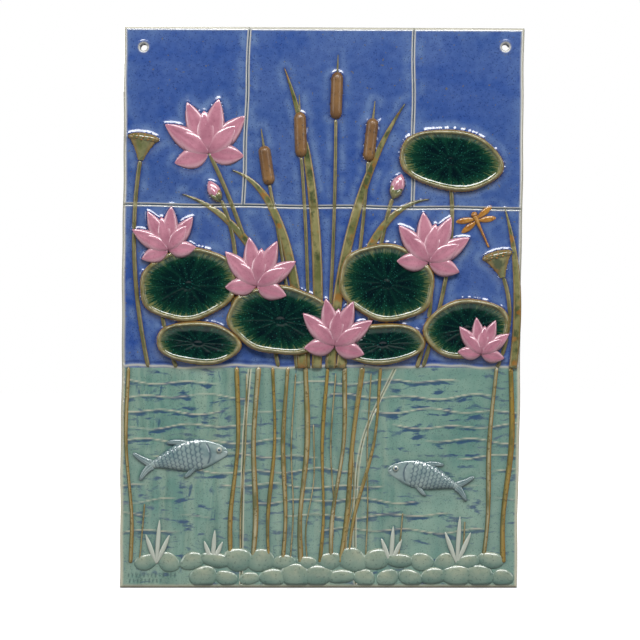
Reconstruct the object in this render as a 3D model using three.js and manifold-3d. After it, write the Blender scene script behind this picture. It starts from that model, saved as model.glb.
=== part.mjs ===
// A glazed stoneware wall relief: one hand-cut slab, scored to look like tiles, with a pond modelled on its face.
// Millimetres, +Z up, +X to the right, the carved face towards -Y.
// The origin is on the flat back, midway between the two hanging holes.
import * as THREE from "three";
import { mergeVertices } from "three/addons/utils/BufferGeometryUtils.js";
import Module from "manifold-3d";

// Slab
const panelHeight = 562;
const topWidth = 401.5;
const bottomWidth = 399;
const slabThickness = 14;
const topFall = 2; // the right end of the top edge is this much lower than the left end
const bottomShift = -6.3; // the bottom edge sits this far off the line of the top edge
const arrisRadius = 4; // rounding of the front edges
const arrisSteps = 3;

// Hanging holes
const holeSpacing = 362;
const holeDrop = 21; // below the top left corner
const holeDiameter = 7;
const holeRimWidth = 1.6; // the rounded mouth round each hole
const holeSides = 16;

// Scored lines that part the face into tiles
const scoreRadius = 1.9;
const scoreLift = 0.7; // the scoring tool's centre above the face
const toolLength = 4; // the tool reaches this many radii up, past any stem that it crosses
const upperRowHeight = 178.5; // from the top edge down to the level line
const upperRowFall = 4.4; // how far the level line falls from left to right
const waterlineHeight = 222;
const upperScores = [
  { top: -75.2, foot: -81.3 },
  { top: 89.2, foot: 88.2 },
];
const waterScores = [
  [-74.6, -80.6, -82.6, -83.6],
  [71.4, 38.4, 30.4, 30.8],
];

// Waterline ledge
const ledgeHalfWidth = 3.6;
const ledgeRise = 1.5;
const ledgeWave = 1.2;

// Leaves: a raised rim, a dished blade and veins that meet at the navel
const leafRimRise = 5.5;
const leafRimShare = 0.9; // where the rim's inner foot lies, as a share of the radius
const leafDishRise = 3;
const leafNavelRise = 3.5;
const leafVeinRise = 0.6;
const leafLobeShare = 0.022; // how far the rim waves in and out, as a share of the radius
const leafLayerRise = 1.5; // what each overlapping layer stands above the one behind it
const leafSides = 24;
const leafVeins = 8;

// Blossoms: two fans of petals seen from the side
const petalHalfWidthShare = 0.21;
const petalBackRise = 5;
const petalFrontRise = 8.2;

// Stems, blades and reed heads
const stemRadius = 2.3;
const bladeRise = 3.4;
const reedHeadRadius = 6.2;
const reedSpikeLength = 17;
const waterStemRadius = 1.7;

// Seed pods, buds, fish, insect, weed and bed
const podRise = 6;
const budRise = 6;
const fishRise = 5.4;
const insectSpan = 42;
const insectRise = 4.2;
const weedRise = 2.4;
const bedHeight = 32;
const pebbleLength = 23;
const pebbleRise = 3.2;
const pebbleRows = 2;
const plainCornerWidth = 66; // no pebbles in the lower left corner, which is left plain for rows of shallow strokes
const plainCornerHeight = 20;

// How deep each modelled form is pressed into the slab, so that both are one body
const keying = 1.5;

const holeHeight = panelHeight - holeDrop;
const skyHeight = panelHeight - waterlineHeight;
const middleWidth = (topWidth + bottomWidth) / 2;

// Places in the picture are percentages: x of the slab's width from the middle, up of the sky's or the water's height.
const percent = 0.01;
const inSky = (x, up) =>
  new THREE.Vector3(x * percent * middleWidth, waterlineHeight + up * percent * skyHeight, 0);
const inWater = (x, up) =>
  new THREE.Vector3(x * percent * middleWidth, up * percent * waterlineHeight, 0);

const leaves = [
  { x: 31.5, up: 60.5, wide: 53, high: 31, turn: -8, lobes: 5, layer: 0 },
  { x: -34, up: 24, wide: 50, high: 37, turn: 10, lobes: 6, layer: 0 },
  { x: -11, up: 13.5, wide: 54, high: 35, turn: -6, lobes: 7, layer: 1 },
  { x: 15.5, up: 24.5, wide: 49, high: 39, turn: -12, lobes: 6, layer: 0 },
  { x: 35.5, up: 11, wide: 44, high: 30, turn: 8, lobes: 5, layer: 0 },
  { x: -31.5, up: 6.8, wide: 43, high: 22, turn: -4, lobes: 5, layer: 1 },
  { x: 14.5, up: 6.5, wide: 43, high: 21, turn: 4, lobes: 5, layer: 1 },
];

const blossoms = [
  { x: -29, up: 62.5, size: 54, turn: 6, spread: 100, level: 0 },
  { x: -39, up: 34, size: 43, turn: 12, spread: 96, level: 2.5 },
  { x: -17, up: 23.5, size: 48, turn: -8, spread: 100, level: 3.5 },
  { x: 2.5, up: 5.9, size: 47, turn: -6, spread: 100, level: 4.5 },
  { x: 26, up: 30.5, size: 49, turn: -10, spread: 98, level: 2.5 },
  { x: 39, up: 3.5, size: 36, turn: -8, spread: 92, level: 4 },
];

const stems = [
  { from: [-11.5, 1.2], by: [-17.5, 35.5], to: [-29, 63] },
  { from: [-37, 1.2], by: [-43, 17.5], to: [-40, 34] },
  { from: [24.5, 1.2], by: [33.5, 32.5], to: [31.5, 53] },
  { from: [23, 1.8], by: [28, 17.5], to: [26, 30] },
  { from: [10, 1.8], by: [12.5, 33], to: [17, 49.5] },
  { from: [-23, 17.5], by: [-20.5, 35.5], to: [-26, 49] },
  { from: [43, 2.9], by: [48.5, 14], to: [44.5, 26.5] },
  { from: [-44, 1.8], by: [-50, 32.5], to: [-46, 61] },
];

const buds = [
  { x: 17, up: 49, length: 27, turn: -20 },
  { x: -26, up: 48, length: 25, turn: 28 },
];

const pods = [
  { x: 44.5, up: 26, size: 15, turn: 14 },
  { x: -46, up: 60.5, size: 15, turn: -8 },
];

const reeds = [
  { root: -4, head: [-6, 68], length: 46 },
  { root: 0.5, head: [3, 79.5], length: 48 },
  { root: 5, head: [11.5, 66.5], length: 44 },
  { root: -7, head: [-14.5, 59], length: 40 },
];

const blades = [
  { from: [-5.5, 2.4], by: [-7.5, 52], to: [-23, 57.5], wide: 4.6 },
  { from: [-2, 2.4], by: [0, 56], to: [-10, 87.5], wide: 4.8 },
  { from: [1.5, 2.4], by: [4.5, 50], to: [20, 77], wide: 4.8 },
  { from: [4, 2.4], by: [8.5, 47], to: [26, 49], wide: 4.4 },
  { from: [-8, 8.8], by: [-17.5, 44], to: [-35.5, 50.5], wide: 4.2 },
  { from: [47, 1.2], by: [50, 26.5], to: [45, 46.5], wide: 3.8 },
];

const waterStems = [
  { top: -49, foot: -48.5 },
  { top: -22, foot: -23.5 },
  { top: -16.5, foot: -18 },
  { top: -13, foot: -14 },
  { top: -9.2, foot: -10.5 },
  { top: -4.8, foot: -6 },
  { top: 0.8, foot: -1.2 },
  { top: 5, foot: 1.5 },
  { top: 9.5, foot: 3.8 },
  { top: 14, foot: 5.8 },
  { top: 43, foot: 39.5 },
  { top: 46.5, foot: 44.5 },
];

const fishes = [
  { x: -35.5, up: 58.5, length: 92, turn: 10, heading: 1 },
  { x: 26, up: 49.5, length: 84, turn: -14, heading: -1 },
];

const weeds = [
  { x: -42, tall: 44 },
  { x: -28, tall: 34 },
  { x: 16.5, tall: 38 },
  { x: 33, tall: 48 },
];

const insect = { x: 38.5, up: 41.5, turn: 24 };

const wasm = await Module();
wasm.setup();

// A closed geometry as a solid that can be joined and cut.
function solidOf(geometry) {
  const bare = geometry.clone();
  bare.deleteAttribute("normal");
  bare.deleteAttribute("uv");
  const merged = mergeVertices(bare, 1e-4);
  const corners = merged.index.array;
  const kept = [];
  for (let i = 0; i < corners.length; i += 3) {
    const [a, b, c] = corners.slice(i, i + 3);
    if (a !== b && b !== c && c !== a) kept.push(a, b, c);
  }
  const mesh = new wasm.Mesh({
    numProp: 3,
    vertProperties: merged.attributes.position.array,
    triVerts: new Uint32Array(kept),
  });
  const solid = new wasm.Manifold(mesh);
  return solid.volume() < 0 ? solidOf(turnedInsideOut(merged)) : solid;
}

function turnedInsideOut(geometry) {
  const flipped = geometry.clone();
  const corners = flipped.index.array;
  for (let i = 0; i < corners.length; i += 3) {
    [corners[i], corners[i + 1]] = [corners[i + 1], corners[i]];
  }
  return flipped;
}

function geometryOf(solid) {
  const mesh = solid.getMesh();
  const geometry = new THREE.BufferGeometry();
  geometry.setAttribute("position", new THREE.BufferAttribute(mesh.vertProperties, 3));
  geometry.setIndex(new THREE.BufferAttribute(mesh.triVerts, 1));
  return geometry;
}

// Moves every vertex of a geometry to the place that the rule gives it.
function reshaped(geometry, rule) {
  const places = geometry.attributes.position;
  const point = new THREE.Vector3();
  for (let i = 0; i < places.count; i += 1) {
    point.fromBufferAttribute(places, i);
    const moved = rule(point);
    places.setXYZ(i, moved.x, moved.y, moved.z);
  }
  return geometry;
}

const joined = (solids) => solids.reduce((whole, solid) => whole.add(solid));
const turned = (x, y, degrees) =>
  new THREE.Vector2(x, y).rotateAround(new THREE.Vector2(), THREE.MathUtils.degToRad(degrees));
const lerp = THREE.MathUtils.lerp;

// A rod of clay laid along a path on the face: widths and rises are functions of the share along it.
function laidRod(path, { sides, steps, halfWidth, rise, level = 0 }) {
  const rod = new THREE.CylinderGeometry(1, 1, 1, sides, steps);
  return solidOf(
    reshaped(rod, (point) => {
      const share = point.y + 0.5;
      const centre = path.getPoint(share);
      const along = path.getTangent(share);
      const side = point.x * halfWidth(share);
      const lift = point.z > 0 ? point.z * rise(share) : point.z * keying;
      const x = centre.x + along.y * side;
      const y = centre.y - along.x * side;
      return new THREE.Vector3(x, y, slabThickness + level + lift);
    }),
  );
}

const bowed = (from, by, to) => new THREE.QuadraticBezierCurve3(from, by, to);
const steady = (value) => () => value;
const spindle = (value, blunt) => (share) =>
  value * Math.max(0.06, Math.sin(Math.PI * lerp(blunt, 1, share)) ** 0.8);

// An almond of clay, such as a petal: it lies from its foot outwards, with a domed back.
function almond(foot, { length, halfWidth, rise, turn, level = 0, fullest = 0, around = 6 }) {
  const ball = new THREE.SphereGeometry(1, around, 4, Math.PI / around);
  return solidOf(
    reshaped(ball, (point) => {
      const share = (point.y + 1) / 2;
      const swell = 1 + fullest * point.y;
      const place = turned(point.x * halfWidth * swell, share * length, turn);
      const lift = point.z > 0 ? level + point.z * rise : point.z * keying;
      return new THREE.Vector3(foot.x + place.x, foot.y + place.y, slabThickness + lift);
    }),
  );
}

function outlineAt(inset) {
  const bottomLeft = new THREE.Vector2(bottomShift - bottomWidth / 2 + inset, inset);
  const bottomRight = new THREE.Vector2(bottomShift + bottomWidth / 2 - inset, inset);
  const topRight = new THREE.Vector2(topWidth / 2 - inset, panelHeight - topFall - inset);
  const topLeft = new THREE.Vector2(-topWidth / 2 + inset, panelHeight - inset);
  return [bottomLeft, bottomRight, topRight, topLeft];
}

// The slab: square at the back, rounded along the front edges.
function slab() {
  const layers = [{ inset: 0, from: 0, to: slabThickness - arrisRadius }];
  for (let step = 1; step <= arrisSteps; step += 1) {
    const angle = (step / arrisSteps) * (Math.PI / 2);
    const before = ((step - 1) / arrisSteps) * (Math.PI / 2);
    layers.push({
      inset: arrisRadius * (1 - Math.cos(angle * 0.72)),
      from: slabThickness - arrisRadius + arrisRadius * Math.sin(before),
      to: slabThickness - arrisRadius + arrisRadius * Math.sin(angle),
    });
  }
  const box = new THREE.BoxGeometry(1, 1, 1, 1, 1, layers.length);
  const levels = [0, ...layers.map((layer) => layer.to)];
  const insets = [0, ...layers.map((layer) => layer.inset)];
  return solidOf(
    reshaped(box, (point) => {
      const layer = Math.round((point.z + 0.5) * layers.length);
      const corners = outlineAt(insets[layer]);
      const row = point.y < 0 ? [corners[0], corners[1]] : [corners[3], corners[2]];
      const corner = row[point.x < 0 ? 0 : 1];
      return new THREE.Vector3(corner.x, corner.y, levels[layer]);
    }),
  );
}

// A hanging hole, straight through, with a rounded mouth at the front.
function hangingHole(side) {
  const radius = holeDiameter / 2;
  const profile = [
    [0, -1],
    [radius, -1],
    [radius, slabThickness - holeRimWidth],
    [radius + 0.3 * holeRimWidth, slabThickness - 0.3 * holeRimWidth],
    [radius + holeRimWidth, slabThickness],
    [radius + holeRimWidth, slabThickness + 1],
    [0, slabThickness + 1],
  ];
  const bore = new THREE.LatheGeometry(
    profile.map(([x, y]) => new THREE.Vector2(x, y)),
    holeSides,
  );
  bore.rotateX(Math.PI / 2);
  bore.translate((side * holeSpacing) / 2, holeHeight, 0);
  return solidOf(bore);
}

// A scored line: what a round tool takes out of the face.
function score(points, steps) {
  const path = new THREE.CatmullRomCurve3(points.map(([x, y]) => new THREE.Vector3(x, y, 0)));
  const tool = new THREE.CylinderGeometry(scoreRadius, scoreRadius, 1, 6, steps);
  return solidOf(
    reshaped(tool, (point) => {
      const share = point.y + 0.5;
      const centre = path.getPoint(share);
      const along = path.getTangent(share);
      const x = centre.x + along.y * point.x;
      const y = centre.y - along.x * point.x;
      const lift = point.z > 0 ? point.z * toolLength : point.z;
      return new THREE.Vector3(x, y, slabThickness + scoreLift + lift);
    }),
  );
}

const levelScoreHeight = (x) =>
  panelHeight - upperRowHeight - upperRowFall * (x / topWidth + 0.5);
const pastEdge = 6; // a scored line runs this far past the slab's edge
const scoreClearance = 3; // a scored line stops this far above the underside's edge

function scoredLines() {
  const far = topWidth / 2 + pastEdge;
  const lines = [
    score([[-far - pastEdge, levelScoreHeight(-far)], [0, levelScoreHeight(0)], [far, levelScoreHeight(far)]], 2),
  ];
  for (const { top, foot } of upperScores) {
    const middle = lerp(top, foot, 0.62);
    const end = levelScoreHeight(foot);
    const height = panelHeight + pastEdge;
    lines.push(score([[top, height], [middle, (height + end) / 2], [foot, end]], 3));
  }
  for (const places of waterScores) {
    const points = places.map((x, i) => {
      const share = i / (places.length - 1);
      return [x, lerp(waterlineHeight - ledgeHalfWidth, scoreClearance, share)];
    });
    lines.push(score(points, 7));
  }
  return lines;
}

function waterlineLedge() {
  const points = [];
  const waves = 8;
  for (let i = 0; i <= waves; i += 1) {
    const x = lerp(-1, 1, i / waves) * (middleWidth / 2 - arrisRadius) + bottomShift / 2;
    points.push(new THREE.Vector3(x, waterlineHeight + (i % 2 ? ledgeWave : -ledgeWave), 0));
  }
  return laidRod(new THREE.CatmullRomCurve3(points), {
    sides: 4,
    steps: 2 * waves,
    halfWidth: steady(ledgeHalfWidth),
    rise: steady(ledgeRise),
  });
}

// A leaf seen at a slant: an oval with a waved rim, turned on its stem.
function leaf({ x, up, wide, high, turn, lobes, layer }) {
  const centre = inSky(x, up);
  const base = slabThickness + layer * leafLayerRise;
  const profile = [
    [0, -keying],
    [1, -keying],
    [0.98, leafRimRise],
    [leafRimShare, leafDishRise + 0.6],
    [0.55, leafDishRise],
    [0, leafNavelRise],
  ];
  const disc = new THREE.LatheGeometry(
    profile.map(([radius, height]) => new THREE.Vector2(radius, height)),
    leafSides,
  );
  return solidOf(
    reshaped(disc, (point) => {
      const angle = Math.atan2(point.z, point.x);
      const radius = Math.hypot(point.x, point.z);
      const lobed = radius * (1 + leafLobeShare * radius * Math.cos(lobes * angle + x));
      const veined = radius > 0.5 && radius < 0.95 ? leafVeinRise * Math.cos(leafVeins * angle) : 0;
      const place = turned(wide * lobed * Math.cos(angle), high * lobed * Math.sin(angle), turn);
      const level = point.y < 0 ? slabThickness - keying : base + point.y + veined;
      return new THREE.Vector3(centre.x + place.x, centre.y + place.y, level);
    }),
  );
}

// Two fans of petals, the front one shorter, on a small cup.
function blossom({ x, up, size, turn, spread, level }) {
  const foot = inSky(x, up);
  const fans = [
    { count: 4, reach: 0.5 * spread, length: size, rise: petalBackRise, lower: 0.06 },
    { count: 5, reach: spread, length: 0.8 * size, rise: petalFrontRise, lower: 0 },
  ];
  const petals = [];
  for (const { count, reach, length, rise, lower } of fans) {
    for (let i = 0; i < count; i += 1) {
      const angle = lerp(-reach, reach, i / (count - 1));
      const shorter = 1 - 0.18 * Math.abs(angle / spread);
      petals.push(
        almond(foot, {
          length: length * (shorter + lower),
          halfWidth: petalHalfWidthShare * size,
          rise: rise * (1 - 0.2 * Math.abs(angle / spread)),
          turn: turn + angle,
          level,
          fullest: -0.1,
          around: 4,
        }),
      );
    }
  }
  return joined(petals);
}

function bud({ x, up, length, turn }) {
  const foot = inSky(x, up);
  const body = { length, halfWidth: 0.27 * length, rise: budRise, turn, fullest: -0.25 };
  const sepal = { length: 0.62 * length, halfWidth: 0.14 * length, rise: budRise + 1, around: 4 };
  return joined([
    almond(foot, body),
    almond(foot, { ...sepal, turn: turn + 16 }),
    almond(foot, { ...sepal, turn: turn - 16 }),
  ]);
}

// A seed pod: a cup that widens to a flat, tilted top.
function pod({ x, up, size, turn }) {
  const foot = inSky(x, up);
  const toward = turned(0, 1.5 * size, turn);
  const path = new THREE.LineCurve3(foot, new THREE.Vector3(foot.x + toward.x, foot.y + toward.y, 0));
  const cup = laidRod(path, {
    sides: 6,
    steps: 1,
    halfWidth: (share) => size * lerp(0.22, 1, share),
    rise: (share) => podRise * lerp(0.5, 1, share),
  });
  const top = new THREE.SphereGeometry(1, 8, 4);
  const face = reshaped(top, (point) => {
    const place = turned(point.x * size * 1.08, point.y * 0.36 * size, turn);
    const lift = Math.max(point.z, -0.2) * 1.2 * podRise;
    const y = foot.y + toward.y + place.y;
    return new THREE.Vector3(foot.x + toward.x + place.x, y, slabThickness + lift);
  });
  return cup.add(solidOf(face));
}

const stem = ({ from, by, to }) =>
  laidRod(bowed(inSky(...from), inSky(...by), inSky(...to)), {
    sides: 4,
    steps: 4,
    halfWidth: steady(stemRadius),
    rise: steady(stemRadius),
  });

const blade = ({ from, by, to, wide }) =>
  laidRod(bowed(inSky(...from), inSky(...by), inSky(...to)), {
    sides: 4,
    steps: 6,
    halfWidth: (share) => wide * (1 - share ** 3) + 0.3,
    rise: (share) => bladeRise * (1 - 0.7 * share),
  });

// A reed: a thin stalk, its thick round head and the spike above it.
function reed({ root, head, length }) {
  const foot = inSky(root, 1);
  const middle = inSky(...head);
  const lean = new THREE.Vector3().subVectors(middle, foot).setLength(1);
  const low = middle.clone().addScaledVector(lean, -length / 2);
  const high = middle.clone().addScaledVector(lean, length / 2);
  const spike = high.clone().addScaledVector(lean, reedSpikeLength);
  const bend = inSky((root + head[0]) / 2 + 1, head[1] / 2);
  const stalk = laidRod(bowed(foot, bend, low), {
    sides: 4,
    steps: 4,
    halfWidth: steady(0.8 * stemRadius),
    rise: steady(0.9 * stemRadius),
  });
  const thick = laidRod(new THREE.LineCurve3(low, high), {
    sides: 6,
    steps: 4,
    halfWidth: (share) => reedHeadRadius * Math.max(0.3, Math.sin(Math.PI * share) ** 0.35),
    rise: (share) => reedHeadRadius * Math.max(0.3, Math.sin(Math.PI * share) ** 0.35),
  });
  const tip = laidRod(new THREE.LineCurve3(high.clone().addScaledVector(lean, -3), spike), {
    sides: 4,
    steps: 1,
    halfWidth: (share) => lerp(1.6, 0.6, share),
    rise: (share) => lerp(2, 0.8, share),
  });
  return joined([stalk, thick, tip]);
}

function waterStem({ top, foot }, i) {
  const sway = i % 2 ? 0.8 : -0.8;
  const points = [
    inWater(top, 100),
    inWater(lerp(top, foot, 0.3) + sway, 66),
    inWater(lerp(top, foot, 0.75) - 0.5 * sway, 33),
    inWater(foot, 8),
  ];
  return laidRod(new THREE.CatmullRomCurve3(points), {
    sides: 4,
    steps: 5,
    halfWidth: steady(waterStemRadius),
    rise: steady(waterStemRadius),
  });
}

// A fish seen from the side, with a forked tail and two fins.
function fish({ x, up, length, turn, heading }) {
  const centre = inWater(x, up);
  const at = (along, above) => {
    const place = turned(heading * along * length, above * length, turn);
    return new THREE.Vector3(centre.x + place.x, centre.y + place.y, 0);
  };
  const body = laidRod(bowed(at(-0.36, -0.02), at(0, 0.05), at(0.5, -0.02)), {
    sides: 6,
    steps: 6,
    halfWidth: (share) => length * (0.035 + 0.14 * Math.sin(Math.PI * share ** 1.35)),
    rise: (share) => fishRise * Math.max(0.25, Math.sin(Math.PI * lerp(0.12, 1, share))),
  });
  const fin = (root, by, tip, wide) =>
    laidRod(bowed(at(...root), at(...by), at(...tip)), {
      sides: 4,
      steps: 2,
      halfWidth: (share) => length * wide * (1 - 0.6 * share),
      rise: steady(0.45 * fishRise),
    });
  return joined([
    body,
    fin([-0.33, -0.01], [-0.42, 0.04], [-0.52, 0.15], 0.05),
    fin([-0.33, -0.02], [-0.42, -0.05], [-0.5, -0.16], 0.05),
    fin([0.12, 0.1], [0.0, 0.2], [-0.14, 0.19], 0.05),
    fin([0.14, -0.08], [0.06, -0.18], [-0.02, -0.21], 0.04),
  ]);
}

function flyingInsect({ x, up, turn }) {
  const centre = inSky(x, up);
  const half = insectSpan / 2;
  const at = (sideways, along) => {
    const place = turned(sideways * half, along * half, turn);
    return new THREE.Vector3(centre.x + place.x, centre.y + place.y, 0);
  };
  const body = laidRod(new THREE.LineCurve3(at(0, -1.2), at(0, 0.5)), {
    sides: 4,
    steps: 3,
    halfWidth: (share) => half * lerp(0.06, 0.16, share ** 3),
    rise: (share) => insectRise * lerp(0.5, 1, share),
  });
  const skull = { length: 0.3 * half, halfWidth: 0.17 * half, rise: insectRise, turn, around: 4 };
  const head = almond(at(0, 0.38), skull);
  const wing = { length: half, halfWidth: 0.16 * half, rise: 0.5 * insectRise, fullest: 0.3, around: 4 };
  const wings = [-1, 1].flatMap((side) => [
    almond(at(0, 0.3), { ...wing, turn: turn + side * 74 }),
    almond(at(0, 0.2), { ...wing, turn: turn + side * 104 }),
  ]);
  return joined([body, head, ...wings]);
}

function weed({ x, tall }) {
  const foot = inWater(x, 0).setY(0.75 * bedHeight);
  return joined(
    [-24, -4, 20].map((lean, i) =>
      almond(foot, {
        length: tall * (i % 2 ? 1 : 0.72),
        halfWidth: 2.6,
        rise: weedRise,
        turn: lean,
        around: 4,
      }),
    ),
  );
}

// The bed: rows of overlapping pebbles, each row set half a pebble on from the one behind.
function pebbles() {
  const bed = [];
  const rowStep = bedHeight / pebbleRows;
  const plainTo = bottomShift - bottomWidth / 2 + plainCornerWidth;
  for (let row = 0; row < pebbleRows; row += 1) {
    const room = bottomWidth - 2 * arrisRadius - pebbleLength;
    const count = Math.round(room / (0.98 * pebbleLength)) - (row % 2);
    for (let i = 0; i <= count; i += 1) {
      const ripple = Math.sin(7.3 * i + 4.1 * row);
      const x = bottomShift + lerp(-room / 2, room / 2, (i + 0.5 * (row % 2)) / (count + (row % 2)));
      const y = arrisRadius + (row + 0.45) * rowStep + 1.6 * ripple;
      if (x < plainTo && y < plainCornerHeight) continue;
      const size = pebbleLength * (0.48 + 0.05 * ripple);
      const stone = new THREE.SphereGeometry(1, 6, 4);
      bed.push(
        solidOf(
          reshaped(stone, (point) => {
            const lift = point.y > 0 ? point.y * pebbleRise * (1 + 0.2 * ripple) : point.y * keying;
            return new THREE.Vector3(x + point.x * size, y - point.z * 0.66 * size, slabThickness + lift);
          }),
        ),
      );
    }
  }
  return joined(bed);
}

function reliefPanel() {
  const scored = joined([slab(), ...stems.map(stem), ...blades.map(blade)]);
  const face = joined([
    scored.subtract(joined(scoredLines())),
    waterlineLedge(),
    ...reeds.map(reed),
    ...waterStems.map(waterStem),
    ...leaves.map(leaf),
    ...pods.map(pod),
    ...buds.map(bud),
    ...blossoms.map(blossom),
    ...fishes.map(fish),
    ...weeds.map(weed),
    flyingInsect(insect),
    pebbles(),
  ]);
  return face.subtract(joined([hangingHole(-1), hangingHole(1)]));
}

const geometry = geometryOf(reliefPanel());
geometry.rotateX(Math.PI / 2);
geometry.translate(0, 0, -holeHeight);

const glaze = new THREE.MeshStandardMaterial({ color: 0x3f5f9e, roughness: 0.18, metalness: 0 });
const panel = new THREE.Mesh(geometry, glaze);
panel.name = "relief_panel";

const wallRelief = new THREE.Group();
wallRelief.add(panel);

export default wallRelief;
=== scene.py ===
# Glazed stoneware wall relief: a slab scored like tiles, with a pond modelled on its face.
# Metres, +X right, +Z up, the carved face towards -Y, the origin on the back between the hanging holes.
import math

import bpy
import numpy as np
from mathutils.bvhtree import BVHTree
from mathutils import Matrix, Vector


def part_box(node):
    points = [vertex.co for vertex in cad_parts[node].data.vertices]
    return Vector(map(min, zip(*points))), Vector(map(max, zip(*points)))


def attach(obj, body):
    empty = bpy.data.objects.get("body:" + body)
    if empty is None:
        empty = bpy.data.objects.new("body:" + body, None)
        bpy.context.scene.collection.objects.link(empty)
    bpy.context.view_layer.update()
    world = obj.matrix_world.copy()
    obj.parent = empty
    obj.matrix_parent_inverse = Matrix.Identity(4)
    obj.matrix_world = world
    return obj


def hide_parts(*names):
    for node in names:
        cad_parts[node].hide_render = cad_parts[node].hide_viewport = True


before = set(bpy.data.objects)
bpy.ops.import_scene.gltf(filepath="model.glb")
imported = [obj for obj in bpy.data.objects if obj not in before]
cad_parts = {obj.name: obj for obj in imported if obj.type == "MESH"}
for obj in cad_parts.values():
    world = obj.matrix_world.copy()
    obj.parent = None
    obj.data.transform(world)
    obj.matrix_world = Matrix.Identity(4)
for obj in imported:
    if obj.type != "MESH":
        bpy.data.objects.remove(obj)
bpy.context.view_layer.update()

mm = 0.001
low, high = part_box("relief_panel")
bottomZ = low.z
panelHeight = high.z - low.z

slab = {
    "topWidth": 401.5 * mm,
    "bottomWidth": 399 * mm,
    "thickness": 14 * mm,
    "topFall": 2 * mm,
    "bottomShift": -6.3 * mm,
    "arris": 4 * mm,
    "waterline": 222 * mm,
    "seamDrop": 1.5 * mm,  # the two glazed fields meet this far below the waterline
    "edgeWave": 0.35 * mm,
    "edgeInset": 0.4 * mm,  # keeps the waves inside the solid's box
    "handWave": 0.3 * mm,  # how far the face wanders from flat
    "scoresAcross": (0.305, 0.72),  # shares of the width, where the mesh is finer
    "columns": 418,
    "skyRows": 196,
    "waterRows": 180,
}
middleWidth = (slab["topWidth"] + slab["bottomWidth"]) / 2
bottomLeft = slab["bottomShift"] - slab["bottomWidth"] / 2
bottomRight = slab["bottomShift"] + slab["bottomWidth"] / 2
skyHeight = panelHeight - slab["waterline"]


def inSky(x, up):  # percent of the width from the middle, percent of the sky's height
    return (x / 100 * middleWidth, slab["waterline"] + up / 100 * skyHeight)


def inWater(x, up):
    return (x / 100 * middleWidth, up / 100 * slab["waterline"])


# Camera, at the height of the picture's middle and square to the face
eye = {"x": -4.6 * mm, "z": -273 * mm, "distance": 2.3, "pictureWidth": 640 * mm, "sensor": 36}
bpy.ops.object.select_all(action="DESELECT")
bpy.ops.object.camera_add(location=(eye["x"], -slab["thickness"] - eye["distance"], eye["z"]))
camera = bpy.context.active_object
camera.name = "camera"
camera.rotation_euler = (math.radians(90), 0, 0)
camera.data.sensor_width = eye["sensor"]
camera.data.lens = eye["sensor"] * eye["distance"] / eye["pictureWidth"]
camera.data.clip_start = 0.05
camera.data.clip_end = 20
bpy.context.scene.camera = camera
print("camera set")


# Shared tools for shaping

def blendStep(fromValue, toValue, value):  # 0 before, 1 after, smooth between
    share = np.clip((value - fromValue) / (toValue - fromValue), 0, 1)
    return share * share * (3 - 2 * share)


def bell(distance, width):
    return np.exp(-((distance / width) ** 2))


def lerp(a, b, share):
    return a + (b - a) * share


def turned(x, y, degrees):
    angle = math.radians(degrees)
    return x * math.cos(angle) - y * math.sin(angle), x * math.sin(angle) + y * math.cos(angle)


def onFront(upward, amount):  # carving, only on the side of a form that shows
    return np.where(upward > 0.05, amount, 0)


def placesOf(piece):
    flat = np.empty(len(piece.data.vertices) * 3)
    piece.data.vertices.foreach_get("co", flat)
    return flat.reshape(-1, 3)


def setPlaces(piece, places):
    piece.data.vertices.foreach_set("co", np.ascontiguousarray(places, dtype=np.float32).ravel())
    piece.data.update()


def layOnFace(piece, x, v, lift):  # v counts up from the bottom edge, lift forward from the face
    setPlaces(piece, np.stack([x, -(slab["thickness"] + lift), bottomZ + v], axis=1))


def note(piece, **values):  # numbers for each vertex that the glazes read
    for name, numbers in values.items():
        kind = "FLOAT_VECTOR" if numbers.ndim == 2 else "FLOAT"
        layer = piece.data.attributes.get(name) or piece.data.attributes.new(name, kind, "POINT")
        layer.data.foreach_set("vector" if numbers.ndim == 2 else "value", numbers.astype(np.float32).ravel())


def startFresh():
    if bpy.context.object and bpy.context.object.mode != "OBJECT":
        bpy.ops.object.mode_set(mode="OBJECT")
    bpy.ops.object.select_all(action="DESELECT")


def copyOf(master, name):
    twin = master.copy()
    twin.data = master.data.copy()
    twin.name = twin.data.name = name
    bpy.context.collection.objects.link(twin)
    return twin


def joinAs(name, parts):
    startFresh()
    for part in parts:
        part.select_set(True)
    bpy.context.view_layer.objects.active = parts[0]
    if len(parts) > 1:
        bpy.ops.object.join()
    piece = bpy.context.active_object
    piece.name = piece.data.name = name
    bpy.ops.object.mode_set(mode="EDIT")
    bpy.ops.mesh.select_all(action="SELECT")
    bpy.ops.mesh.normals_make_consistent(inside=False)
    bpy.ops.object.mode_set(mode="OBJECT")
    bpy.ops.object.shade_smooth()
    return piece


def finishPiece(piece):
    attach(piece, "root")
    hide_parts("relief_panel")


# Three raw forms, each modelled once and then copied and shaped

def makeRawRod(around, steps):  # a rod from 0 to 1 along Z
    startFresh()
    bpy.ops.mesh.primitive_circle_add(vertices=around, radius=1, fill_type="NGON")
    rod = bpy.context.active_object
    bpy.ops.object.mode_set(mode="EDIT")
    bpy.ops.mesh.select_all(action="SELECT")
    for _ in range(steps):
        bpy.ops.mesh.extrude_region_move(TRANSFORM_OT_translate={"value": (0, 0, 1 / steps)})
    bpy.ops.object.mode_set(mode="OBJECT")
    return rod


def makeRawBall(around, rings):  # a ball with its poles on Z
    startFresh()
    bpy.ops.mesh.primitive_uv_sphere_add(segments=around, ring_count=rings, radius=1)
    return bpy.context.active_object


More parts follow.
